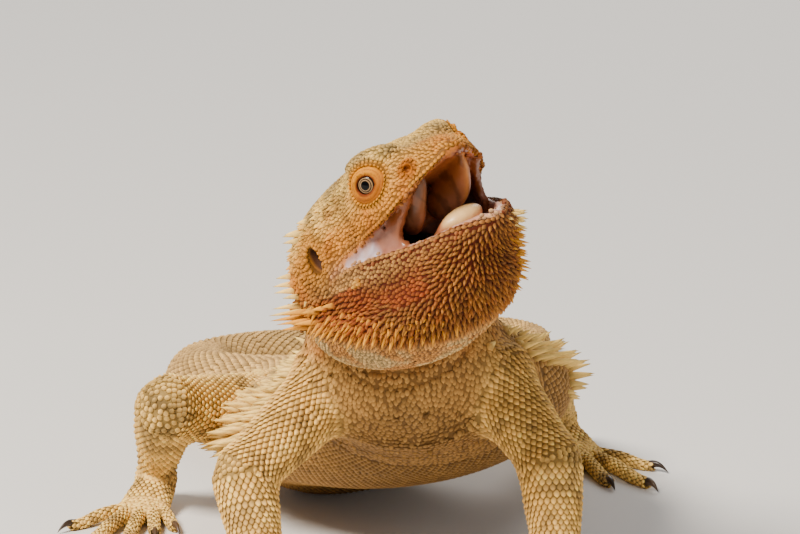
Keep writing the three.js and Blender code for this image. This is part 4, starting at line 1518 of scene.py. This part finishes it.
def mouth_colour(p):
    """The lining: brown roof, orange gums, pale folds at the corners and below, black painted shade in the
    throat.
    """
    (f, l, u, half, _), (_, jl, _, jaw_half, _) = mouth_measures(p)
    side = np.abs(l)
    upper = smoothstep(u - palate_height(f, l), -1.6, -0.6)
    # Painted light: the roof and the folds are painted lighter towards the far side of the mouth.
    painted_far_light = 1 + 1.2 * smoothstep(l, -3, 1)
    roof = mix(rgb(140, 80, 40), rgb(104, 56, 26), rough_noise(p, 2.2, 31)) * painted_far_light[:, None]
    roof = mix(roof, rgb(110, 22, 6), np.exp(-(((f - 36) / 3) ** 2) - (l / 3.5) ** 2))
    inside = half - side
    roof = mix(roof, rgb(124, 72, 56), smoothstep(inside, 6.5, 5))
    gum = mix(rgb(150, 84, 44), rgb(128, 60, 26), rough_noise(p, 2, 39))
    roof = mix(roof, gum, smoothstep(inside, GUM + 0.5, GUM - 0.5))
    roof = mix(roof, rgb(160, 76, 10), smoothstep(inside, 1.9, 1.3))
    # Painted light: the far gum and the groove beside it are painted lighter still.
    roof = roof * (1 + 1.0 * smoothstep(l, 4, 8))[:, None]
    # Painted highlight: a light line along the edge of the far fold.
    roof = mix(roof, rgb(184, 110, 44), peak(l, 5.9, 0.5) * smoothstep(f, 20, 24))
    fold = np.min([near_only(b, p) for b in palate_folds], axis=0)
    # The folds are painted darker up where they join the roof (painted shade) and paler at their hanging
    # edge.
    crest = smoothstep(u, 3, -4)
    flap = mix(rgb(110, 62, 26), mix(rgb(124, 74, 42), rgb(150, 98, 70), rough_noise(p, 2.2, 37)), crest)
    # Painted shade: dark bands across the folds stand for the shade in their furrows.
    furrow_shade = smoothstep(np.sin(2.6 * l + 0.7 * f + 5 * rough_noise(p, 2.5, 42)), 0.2, 0.9)
    flap = flap * painted_far_light[:, None] * (1 - 0.4 * furrow_shade)[:, None]
    # Painted highlight: a light line along the edge of the far fold.
    flap = mix(flap, rgb(214, 140, 70), peak(l, 5.9, 0.45) * smoothstep(f, 20, 24))
    roof = mix(roof, flap, smoothstep(fold, 0.7, 0.3))
    bed = mix(rgb(176, 122, 98), rgb(186, 150, 134), rough_noise(p, 3, 33))
    bed = mix(bed, rgb(170, 112, 76), smoothstep(jaw_half - np.abs(jl), GUM, 0.8))
    c = mix(bed, roof, np.maximum(upper, smoothstep(fold, 0.7, 0.3)))
    web = np.min([near_only(w, p) for w in webs], axis=0)
    # Painted shade: dark lines on the webs stand for the shade in their wrinkles.
    wrinkle_shade = smoothstep(np.sin(2.4 * u - 1.1 * f + 4 * rough_noise(p, 4, 34)), 0.2, 0.95)
    pink = mix(rgb(128, 76, 54), rgb(160, 108, 88), rough_noise(p, 2.4, 35))
    pale = mix(rgb(176, 146, 142), rgb(186, 178, 192), patches(p, 3, 36, 0.3, 0.6))
    sheet = mix(pink, pale, smoothstep(f, 20.5, 17.5) * smoothstep(u, 0.3, -2))
    sheet = mix(sheet, rgb(126, 72, 56), 0.34 * wrinkle_shade)
    sheet = mix(sheet, rgb(130, 70, 34), smoothstep(f, 23, 25.5))
    c = mix(c, sheet, smoothstep(web, 1.1, 0.5))
    c = mix(c, pale, smoothstep(f, 12, 9) * smoothstep(side, 10, 13))
    # Painted shade: the lining turns near black deep in the throat.
    dark = smoothstep(near_only(throat, p), 0.5, -0.1) * smoothstep(fold, 0.3, 0.8)
    return mix(c, rgb(14, 7, 5), dark)


# ---------------------------------------------------------------- materials


def material(name, rough, bump, grain, vary=0.22, coat=0.0, specular=0.4):
    """A surface coloured by the mesh's Tint, with fine noise in its colour, bump and roughness."""
    m = bpy.data.materials.new(name)
    m.use_nodes = True
    nodes, links = m.node_tree.nodes, m.node_tree.links
    shader = nodes["Principled BSDF"]
    shader.inputs["Specular IOR Level"].default_value = specular
    shader.inputs["Coat Weight"].default_value = coat
    shader.inputs["Coat Roughness"].default_value = 0.2
    tint = nodes.new("ShaderNodeVertexColor")
    tint.layer_name = "Tint"
    place_at = nodes.new("ShaderNodeTexCoord")
    fine = nodes.new("ShaderNodeTexNoise")
    fine.inputs["Scale"].default_value = 0.35 / grain
    fine.inputs["Detail"].default_value = 4
    links.new(place_at.outputs["Object"], fine.inputs["Vector"])
    broad = nodes.new("ShaderNodeTexNoise")
    broad.inputs["Scale"].default_value = 130
    broad.inputs["Detail"].default_value = 3
    links.new(place_at.outputs["Object"], broad.inputs["Vector"])
    spread = nodes.new("ShaderNodeMapRange")
    spread.inputs["To Min"].default_value = 1 - vary
    spread.inputs["To Max"].default_value = 1 + vary
    links.new(fine.outputs["Fac"], spread.inputs["Value"])
    shade = nodes.new("ShaderNodeMix")
    shade.data_type = "RGBA"
    shade.blend_type = "MULTIPLY"
    shade.inputs["Factor"].default_value = 1
    links.new(tint.outputs["Color"], shade.inputs["A"])
    links.new(spread.outputs["Result"], shade.inputs["B"])
    links.new(shade.outputs["Result"], shader.inputs["Base Color"])
    dull = nodes.new("ShaderNodeMapRange")
    dull.inputs["To Min"].default_value = rough - 0.12
    dull.inputs["To Max"].default_value = rough + 0.12
    links.new(broad.outputs["Fac"], dull.inputs["Value"])
    links.new(dull.outputs["Result"], shader.inputs["Roughness"])
    relief = nodes.new("ShaderNodeBump")
    relief.inputs["Strength"].default_value = bump
    relief.inputs["Distance"].default_value = grain * 0.5
    links.new(fine.outputs["Fac"], relief.inputs["Height"])
    links.new(relief.outputs["Normal"], shader.inputs["Normal"])
    return m


def paint(mesh, colours):
    layer = mesh.color_attributes.new("Tint", "FLOAT_COLOR", "POINT")
    full = np.ones((len(mesh.vertices), 4), np.float32)
    full[:, :3] = np.clip(colours, 0, 1)
    layer.data.foreach_set("color", full.ravel())


PATCH = 0.003  # how much of the chart's side one scale takes


def coat(name, batches):
    """One piece of many scales. batches are (template, sites, root colour, tip colour, chart)."""
    points, faces, colours, maps, base = [], [], [], [], 0
    for (shape, tris), s, root, tip, (low, size) in batches:
        n, m = len(s.at), len(shape)
        across = np.cross(s.lie, s.out)
        lie = s.lie * np.cos(s.lift)[:, None] + s.out * np.sin(s.lift)[:, None]
        up = np.cross(across, lie)
        p = s.at[:, None] + shape[None, :, 0, None] * (s.width[:, None] * across)[:, None]
        p = p + shape[None, :, 1, None] * (s.length[:, None] * lie)[:, None]
        p = p + shape[None, :, 2, None] * (s.thick[:, None] * up)[:, None]
        p[..., 2] = np.maximum(p[..., 2], LOWEST)
        points.append(p.reshape(-1, 3))
        faces.append((tris[None] + (base + np.arange(n) * m)[:, None, None]).reshape(-1, 3))
        base += n * m
        toward = smoothstep(shape[:, 1], -0.35, 0.5)
        # Each scale is darker at its low side edges: partly its own darker edge, partly painted shade
        # where it meets the skin.
        rim = 1 - 0.45 * smoothstep(np.abs(shape[:, 0]), 0.25, 0.5) * (shape[:, 2] < 0.5)
        c = root[:, None] + (tip - root)[:, None] * toward[None, :, None]
        colours.append((c * rim[None, :, None]).reshape(-1, 3))
        at = np.array(low) + s.chart * np.array(size)
        local = shape[:, :2] / 1.1 * PATCH
        maps.append((at[:, None] + local[None]).reshape(-1, 2))
    points, faces = np.vstack(points), np.vstack(faces)
    obj = new_object(name, points, faces)
    paint(obj.data, np.vstack(colours))
    uv = obj.data.uv_layers.new(name="OFBake")
    loops = np.empty(len(obj.data.loops), np.int32)
    obj.data.loops.foreach_get("vertex_index", loops)
    uv.data.foreach_set("uv", np.vstack(maps)[loops].astype(np.float32).ravel())
    obj.data.materials.append(hide)
    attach(obj, "root")
    print(f"coat {name}: {len(faces)} triangles")


# ---------------------------------------------------------------- the skin and its coat

hide = material("hide", rough=0.68, bump=0.5, grain=0.00035, specular=0.14)
wet = material("mouth_lining", 0.34, 0.35, 0.0006, vary=0.12, coat=0.1, specular=0.35)
horn = material("claw_horn", 0.36, 0.25, 0.0005, vary=0.2)
tongue_flesh = material("tongue_flesh", 0.4, 0.6, 0.0004, vary=0.08, coat=0.1, specular=0.5)

in_mouth = mouth_share(skin_points)
on_neck = near_only(neck, skin_points) < 1.5
on_chest = (near_only(trunk, skin_points) < 1.5) & (skin_points[:, 1] < CHEST_END)
# The skin between the scales is darker: partly its own darker tone, partly painted shade in the gaps.
gap_tone_and_shade = np.where(on_neck | on_chest, 0.5, 0.34)
under = markings(skin_points) * gap_tone_and_shade[:, None]
shown = bare(skin_points) & (in_mouth < 0.5)
under = np.where(shown[:, None], under / gap_tone_and_shade[:, None], under)
paint(skin.data, mix(under, mouth_colour(skin_points), in_mouth))
skin.data.materials.append(hide)
skin.data.materials.append(wet)
corners = np.empty(len(skin.data.loops), np.int32)
skin.data.loops.foreach_get("vertex_index", corners)
starts = np.array([f.loop_start for f in skin.data.polygons])
lining = in_mouth[corners[starts]] > 0.5
skin.data.polygons.foreach_set("material_index", lining.astype(np.int32))
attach(skin, "root")
flesh_nodes = [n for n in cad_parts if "claw" not in n and "eye" not in n and n != "tongue"]
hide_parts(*flesh_nodes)

sites = all_sites()
grains, grain_owner = fill_sites(sites)


def uneven(s, vary):
    """A random lightness for each scale."""
    return 1 + vary * (rng.random(len(s.at))[:, None] * 2 - 1)


def tinted(s, tip_light=1.2, root_dark=0.5, vary=0.2, cream=0.16):
    """Root and tip colours of scales: the hide's own colour, darker at the root (partly its own tone,
    partly painted shade in the gaps) and paler at the tip.
    """
    own = markings(s.at)
    each = uneven(s, vary)
    return own * root_dark * each, mix(own * tip_light, CREAM, np.full(len(s.at), cream)) * each


def head_tints(s):
    return tinted(s, 1.2, 0.55, 0.22, 0.06)


def chest_tints(s):
    return tinted(s, 1.12, 0.74, 0.16, 0.12)


def limb_tints(s):
    return tinted(s, 1.2, 0.62, 0.3, 0.14)


def chin_tints(s):
    own = markings(s.at)
    q = fringe_height(s.at)
    each = uneven(s, 0.3)
    share = 0.14 + 0.3 * np.clip(s.pointed, 0, 1) * rng.random(len(s.at)) + 0.25 * smoothstep(q, -1, -4)
    # The root is darker: partly the scales' own tone, partly painted shade in the gaps.
    return own * 0.5 * each, mix(own * 1.25, rgb(214, 152, 66), share) * each


def strip(k, n):
    """The part of the chart that the k-th of n groups of scales takes: where it begins, and its size."""
    return (k / n + 0.006, 0.006), (1 / n - 0.012, 0.988)


def picked(s, wanted):
    """Some of a group's places, as a new group."""
    part = Sites(s.at, s.out, s.lie, s.length, s.width, s.thick, s.lift, s.chart)
    part.pointed = s.pointed
    return part.keep(wanted)


def dress(name, batches, regions=()):
    """One piece of coat: batches of (template, places, tints), with the grains of the same regions."""
    wanted = np.isin(grain_owner, [REGION_NAMES.index(r) for r in regions])
    if wanted.any():
        batches = [*batches, (GRAIN, picked(grains, wanted), tinted)]
    parts = [(t, s, *tints(s), strip(k, len(batches))) for k, (t, s, tints) in enumerate(batches)]
    coat(name, parts)


head, chin = sites["head"], sites["chin"]
dress("scales_head", [(SMOOTH, head, head_tints), (SMOOTH, sites["lips"], head_tints)], ["head"])
spiky = chin.pointed > 0.3
dress(
    "scales_beard",
    [(KEELED, picked(chin, ~spiky), chin_tints), (POINTED, picked(chin, spiky), chin_tints)],
    ["jaw", "beard"],
)
dress("scales_neck", [(SMOOTH, sites["neck"], chest_tints)], ["neck"])
dress("scales_chest", [(SMOOTH, sites["chest"], chest_tints)])
dress("scales_trunk", [(KEELED, sites["trunk"], tinted)], ["trunk"])
dress("scales_tail", [(KEELED, sites["tail"], tinted)], ["tail"])
for name in limbs:
    regions = [f"{name}_{part}" for part in ("upper", "lower", "paw")]
    upper, lower, paw = (sites[region] for region in regions)
    facing_up = upper.out[:, 2] > 0.25
    batches = [
        (KEELED, picked(upper, ~facing_up), limb_tints),
        (KEELED, lower, limb_tints),
        (SMOOTH, paw, limb_tints),
        (POINTED, picked(upper, facing_up), limb_tints),
    ]
    dress(f"scales_{name}", batches, regions)

# ---------------------------------------------------------------- spines


def tube_spots(tube, spots):
    """Places on a tube at (t, degrees), with the way out and the way along the tube."""
    at, out, along, chart = [], [], [], []
    for t, degrees in spots:
        s = t * (len(tube.t) - 1)
        i = int(round(s))
        a = math.radians(degrees)
        half, above, below = tube.size[i]
        x, z = math.cos(a) * half, math.sin(a) * (above if math.sin(a) > 0 else below)
        at.append(tube.centre[i] + x * tube.side[i] + z * tube.top[i])
        out.append(math.cos(a) * tube.side[i] + math.sin(a) * tube.top[i])
        along.append(tube.along[i])
        chart.append((degrees / 360 % 1, t))
    return np.array(at), np.array(out), np.array(along), np.array(chart)


def thorns(at, way, length, width, chart=None):
    """Spines whose whole length points along `way`. Those of the head use its chart."""
    chart = head_chart(at) if chart is None else chart
    at, _ = settle(at, 2)
    way = unit(way)
    side = unit(np.cross(way, np.array([0.21, 0.37, 0.9])))
    return Sites(at - way * 0.4, np.cross(side, way), way, length, width, width, 0, chart)


def flank_thorns():
    groups = []
    for side in (0, 180):
        tilt = 1 if side == 0 else -1
        for row, (shift, size, count) in enumerate(FLANK_ROWS):
            t = np.linspace(0.2, 0.8, count) + 0.011 * (row % 2)
            jitter = rng.random((count, 3)) - 0.5
            spots = [(a, side + tilt * (shift + 3 * j)) for a, j in zip(t, jitter[:, 0])]
            at, out, along, chart = tube_spots(trunk, spots)
            length = 6.6 * size * (0.7 + 0.3 * np.sin(math.pi * t)) * (1 + 0.25 * jitter[:, 1])
            way = out + along * (0.3 + 0.3 * jitter[:, 2])[:, None]
            free = (at[:, 1] > 44) | (shift > 8)  # The arms lie over the edge of the flank in front.
            one = thorns(at, way, length, 2.1 * (0.6 + 0.4 * size), chart)
            groups.append(one.keep(free))
    return joined(groups)


def on_side(place_at, f, s, u):
    """Points of the skin on side s, at f and u in the frame that `place_at` leaves.

    Gives the points, the way out there, and which of the places asked for lie on the skin.
    """
    reach = np.arange(2, 24, 0.2)
    l = s * reach[None] - 1.4
    grid = np.stack(np.broadcast_arrays(f[:, None], l, u[:, None]), -1)
    outside = flesh(place_at(grid.reshape(-1, 3))).reshape(len(f), -1) > 0
    first = outside.argmax(1)
    found = outside.any(1) & (first > 0)
    at = place_at(grid[np.arange(len(f)), first])[found]
    return at, settle(at, 1)[1], found


def fringe_thorns():
    """The rows of long spines along the pouch's fringe, and the bristles at its front on the left."""
    groups = []
    for above, size, count in ((0.0, 1.0, 19), (2.0, 0.6, 21), (3.8, 0.42, 22)):
        for s in (-1, 1):
            f = np.linspace(-5, 25, count) + 0.7 * (rng.random(count) - 0.5)
            u = above - FRINGE_DROP - FRINGE_SLOPE * np.clip(f, *FRINGE_SPAN)
            u = u + 0.7 * (rng.random(count) - 0.5)
            at, out, found = on_side(from_jaw, f, s, u)
            way = turn_from_jaw((-0.62, 0, -0.5)) + 0.5 * out
            length = (4.3 * size * (1 - 0.014 * f) * (0.8 + 0.4 * rng.random(count)))[found]
            groups.append(thorns(at, way, length, 1.35))
    u, f = (a.ravel() for a in np.meshgrid(np.arange(-4.5, -19, -1.5), np.arange(24, 41, 1.5)))
    f = f + 0.8 * (rng.random(len(f)) - 0.5) + 0.4 * ((-u / 1.5) % 2)
    at, out, _ = on_side(from_jaw, f, 1, u + 0.8 * (rng.random(len(u)) - 0.5))
    sideways = smoothstep(dot(out, turn_from_jaw((0, 1.0, 0))), 0.35, 0.7)
    at, out, sideways = at[sideways > 0.1], out[sideways > 0.1], sideways[sideways > 0.1]
    way = out + 0.35 * turn_from_jaw((-1.0, 0, -0.3))
    length = (2.2 + 1.5 * rng.random(len(at))) * (0.5 + 0.5 * sideways)
    groups.append(thorns(at, way, length, 1.15))
    return joined(groups)


def temple_thorns():
    """Short points among the plates behind the eye."""
    groups = []
    for s in (-1, 1):
        f, u = rng.uniform(-7, 14, 46), rng.uniform(-1, 12.5, 46)
        at, out, _ = on_side(from_head, f, s, u)
        clear = ear_gap(at) > 1.8
        at, out = at[clear], out[clear]
        way = 0.5 * out - forward
        groups.append(thorns(at, way, 1.5 + 1.1 * rng.random(len(at)), 1.25))
    return joined(groups)


def back_tubercles():
    """Raised pale scales scattered over the back and shoulders."""
    t = rng.uniform(0.1, 0.86, 420)
    degrees = rng.uniform(18, 162, 420)
    at, out, along, chart = tube_spots(trunk, list(zip(t, degrees)))
    apart = spread_places(at, np.full(len(at), 5.0), 0)
    keep = nearest_gap(at, apart) < 1e-6
    at, out, along, chart = at[keep], out[keep], along[keep], chart[keep]
    length = 2.4 + 1.6 * rng.random(len(at))
    return thorns(at, along + 0.45 * out, length, 2.1, chart)


def cheek_thorns():
    rows = [(f, s * l, u, length) for f, l, u, length in CHEEK_SPINES for s in (-1, 1)]
    at = from_head([r[:3] for r in rows])
    side = np.sign([r[1] for r in rows])
    way = turn_from_head(np.stack([np.full(len(rows), -0.72), side * 0.5, np.full(len(rows), 0.48)], 1))
    return thorns(at, way, np.array([r[3] for r in rows]), 1.75)


def thorn_tints(s):
    each = uneven(s, 0.15)
    on_pouch = owned(s.at, "beard", slack=2.0)
    root = mix(markings(s.at), rgb(146, 62, 4), 0.8 * on_pouch)
    return root * each, mix(rgb(240, 200, 112), rgb(216, 148, 44), on_pouch) * each


def jaw_ridge():
    """Long golden scales lying along the fold from the mouth's corner down to the cheek's spines."""
    groups = []
    for s in (-1, 1):
        f = np.linspace(12.5, -6.5, 18)
        for drop, size in ((0.0, 1.0), (0.7, 0.8)):
            at, out, _ = on_side(from_jaw, f, s, np.interp(f, (-5, 12), (-3.7, -2.5)) - drop)
            way = turn_from_jaw((-1.0, 0, -0.12)) + 0.14 * out
            length = 3.3 * size * (0.9 + 0.2 * rng.random(len(at)))
            groups.append(thorns(at, way, length, 1.25))
    return joined(groups)


def golden(s):
    each = uneven(s, 0.15)
    return rgb(158, 92, 16) * each, rgb(222, 166, 74) * each


def like_hide(s):
    return tinted(s, 1.35, 0.7, 0.2, 0.12)


groups = [
    (flank_thorns(), thorn_tints),
    (fringe_thorns(), thorn_tints),
    (cheek_thorns(), thorn_tints),
    (temple_thorns(), like_hide),
    (jaw_ridge(), golden),
    (back_tubercles(), thorn_tints),
]
coat("spines", [(THORN, s, *tints(s), strip(k, len(groups))) for k, (s, tints) in enumerate(groups)])

# ---------------------------------------------------------------- claws


def loft(rings):
    """Closed body through rings of points; its two ends are closed with a fan."""
    n, m = len(rings), len(rings[0])
    points = np.vstack([*rings, rings[0].mean(0)[None], rings[-1].mean(0)[None]])
    faces = []
    for i in range(n - 1):
        for k in range(m):
            a, b = i * m + k, i * m + (k + 1) % m
            faces += [(a, b, b + m), (a, b + m, a + m)]
    first, last = n * m, n * m + 1
    for k in range(m):
        faces.append((first, (k + 1) % m, k))
        faces.append((last, (n - 1) * m + k, (n - 1) * m + (k + 1) % m))
    return points, np.array(faces)


def claw_mesh(root, way, r):
    """A curved claw: it rises a little out of the toe's tip, then hooks down to the ground."""
    rings = []
    up = np.array([0, 0, 1.0])
    side = np.cross(way, up)
    for s in np.linspace(0, 1, 12):
        reach = -CLAW_ROOT + (CLAW + CLAW_ROOT) * (s - 0.12 * s**3)
        z = 1.45 + 0.75 * math.sin(math.pi * s) * (1 - 0.4 * s) - 1.1 * s**2.2
        thick = max(0.05, r * 0.62 * (1 - s) ** 0.75)
        centre = root + way * reach + up * z
        a = np.linspace(0, 2 * math.pi, 10, endpoint=False)
        rings.append(centre + np.cos(a)[:, None] * side * thick * 0.8 + np.sin(a)[:, None] * up * thick)
    return loft(rings)


def merged(parts):
    points, faces, base = [], [], 0
    for p, f in parts:
        points.append(p)
        faces.append(f + base)
        base += len(p)
    return np.vstack(points), np.vstack(faces)


def make_claws():
    for name, limb in limbs.items():
        kind, side = name.split("_")
        word = "finger" if kind == "arm" else "toe"
        points, faces = merged([claw_mesh(*claw) for claw in limb.claws])
        points[:, 2] = np.maximum(points[:, 2], LOWEST)
        obj = new_object(f"{word}_claws_{side}", points, faces)
        rise = smoothstep(cell_noise(points, 1.5, 4), 0.2, 0.9)
        paint(obj.data, mix(rgb(46, 34, 26), rgb(104, 78, 54), rise * 0.6))
        obj.data.materials.append(horn)
        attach(obj, "root")
        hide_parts(*[f"{word}_claw_{side}_{k}" for k in range(1, 6)])


make_claws()

# ---------------------------------------------------------------- eyes and tongue


def make_eye(name, node, s, surface):
    """An eyeball whose pole looks out between the lids, with a pupil, an iris and a pale rim."""
    gaze = unit(turn_from_head((math.sin(EYE_TURN), s * math.cos(EYE_TURN), 0)))
    centre = from_head(eye_point(s))
    side = unit(np.cross(gaze, turn_from_head((0, 0, 1))))
    up = np.cross(side, gaze)
    rings = []
    angles = np.linspace(0, 2 * math.pi, 48, endpoint=False)
    polar = np.concatenate([np.linspace(0.5, 40, 34), np.linspace(44, 178, 24)])
    for deg in polar:
        a = math.radians(deg)
        r = EYE_RADIUS * (1 + 0.03 * math.exp(-((deg / 22) ** 2)))
        ring = np.cos(angles)[:, None] * side + np.sin(angles)[:, None] * up
        rings.append(centre + r * (math.cos(a) * gaze + math.sin(a) * ring))
    points, faces = loft(rings)
    obj = new_object(name, points, faces)
    out = unit(points - centre)
    tilt = np.degrees(np.arccos(np.clip(dot(out, gaze), -1, 1)))
    spin = np.arctan2(out @ up, out @ side)
    streak = cell_noise(np.stack([spin * 9, tilt * 0.15, np.zeros(len(spin))], 1), 1.0, 3)
    c = mix(rgb(34, 24, 16), rgb(66, 48, 32), streak)
    c = mix(c, rgb(150, 120, 84), smoothstep(np.abs(tilt - 15.4), 1.4, 0.4))
    c = mix(c, rgb(160, 126, 86), smoothstep(np.abs(tilt - 22), 1.8, 0.6))
    c = mix(c, rgb(4, 4, 4), smoothstep(tilt, 13.4, 12.4))
    c = mix(c, rgb(24, 16, 11), smoothstep(tilt, 23, 26))
    paint(obj.data, c)
    obj.data.materials.append(surface)
    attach(obj, "root")
    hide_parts(node)


iris = material("eye_iris", 0.14, 0.03, 0.0003, vary=0.1, specular=0.12)
make_eye("eyeball_right", "eye_right", -1, iris)
make_eye("eyeball_left", "eye_left", 1, iris)


def make_tongue():
    tube = Tube(TONGUE, ends=8, inset=0.1, step=0.6, **IN_JAW)
    rings = []
    a = np.linspace(0, 2 * math.pi, 28, endpoint=False)
    for i in range(len(tube.t)):
        half, above, below = tube.size[i]
        x, z = half * np.cos(a), np.where(np.sin(a) > 0, above, below) * np.sin(a)
        rings.append(tube.centre[i] - x[:, None] * tube.side[i] + z[:, None] * tube.top[i])
    points, faces = loft(rings)
    obj = new_object("tongue_soft", points, faces)
    f = to_head(points)[:, 0]
    # The tongue is cream at its tip and, further back, on the side that faces up: partly its own colour,
    # partly a painted highlight.
    facing_highlight = dot(unit(points - from_jaw(np.array(TONGUE[4][:3]))), turn_from_jaw((0.45, -0.3, 0.85)))
    cream = smoothstep(f + 4.5 * facing_highlight, 29.5, 34)
    pink = mix(rgb(178, 98, 68), rgb(156, 78, 52), cell_noise(points, 1.2, 4))
    c = mix(pink, rgb(226, 186, 122), cream)
    paint(obj.data, mix(c, rgb(206, 150, 90), 0.4 * cell_noise(points, 1.1, 2)))
    obj.data.materials.append(tongue_flesh)
    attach(obj, "root")
    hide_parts("tongue")


make_tongue()

# ---------------------------------------------------------------- floor, light and camera


def plain(name, colour, rough):
    m = bpy.data.materials.new(name)
    m.use_nodes = True
    shader = m.node_tree.nodes["Principled BSDF"]
    shader.inputs["Base Color"].default_value = (*colour, 1)
    shader.inputs["Roughness"].default_value = rough
    return m


def make_floor():
    bpy.ops.mesh.primitive_plane_add(size=12, location=(0, 0, 0))
    floor = bpy.context.object
    floor.name = "floor"
    floor.data.materials.append(plain("floor_paper", (0.72, 0.70, 0.67), 0.9))


def aimed(name, data, at, way):
    """A light or camera that looks along `way`."""
    obj = bpy.data.objects.new(name, data)
    obj.location = at
    obj.rotation_euler = Vector(way).to_track_quat("-Z", "Y").to_euler()
    bpy.context.scene.collection.objects.link(obj)
    return obj


def area_light(name, at, aim, size, power, colour):
    data = bpy.data.lights.new(name, "AREA")
    data.shape = "DISK"
    data.size = size
    data.energy = power
    data.color = colour
    aimed(name, data, at, Vector(aim) - Vector(at))


def make_light():
    area_light("key", (-0.55, -0.55, 0.9), (0, -0.05, 0.04), 0.4, 31, (1.0, 0.93, 0.83))
    area_light("fill", (0.8, -0.6, 0.4), (0, -0.05, 0.05), 0.8, 2.4, (1.0, 0.95, 0.9))
    area_light("back", (0.2, 0.9, 0.7), (0, 0, 0.05), 0.6, 5, (1.0, 0.98, 0.95))
    world = bpy.data.worlds.new("studio")
    world.use_nodes = True
    sky = world.node_tree.nodes["Background"]
    sky.inputs["Color"].default_value = (0.86, 0.87, 0.9, 1)
    sky.inputs["Strength"].default_value = 0.32
    bpy.context.scene.world = world


VIEW_DOWN = math.radians(14)
VIEW_DISTANCE = 1300.0
VIEW_AIM = np.array([-0.01, 5.0, 76.0])
VIEW_LOWER = 2.46  # how far below the aim the middle of the view is
VIEW_LENS = 282.6


def make_camera():
    ahead = np.array([0, math.cos(VIEW_DOWN), -math.sin(VIEW_DOWN)])
    up = np.array([0, math.sin(VIEW_DOWN), math.cos(VIEW_DOWN)])
    at = VIEW_AIM - VIEW_DISTANCE * ahead - VIEW_LOWER * up
    data = bpy.data.cameras.new("camera")
    data.lens = VIEW_LENS
    data.sensor_width = 36
    data.clip_start = 0.05
    data.clip_end = 50
    bpy.context.scene.camera = aimed("camera", data, to_part(at), ahead)


make_floor()
make_light()
make_camera()
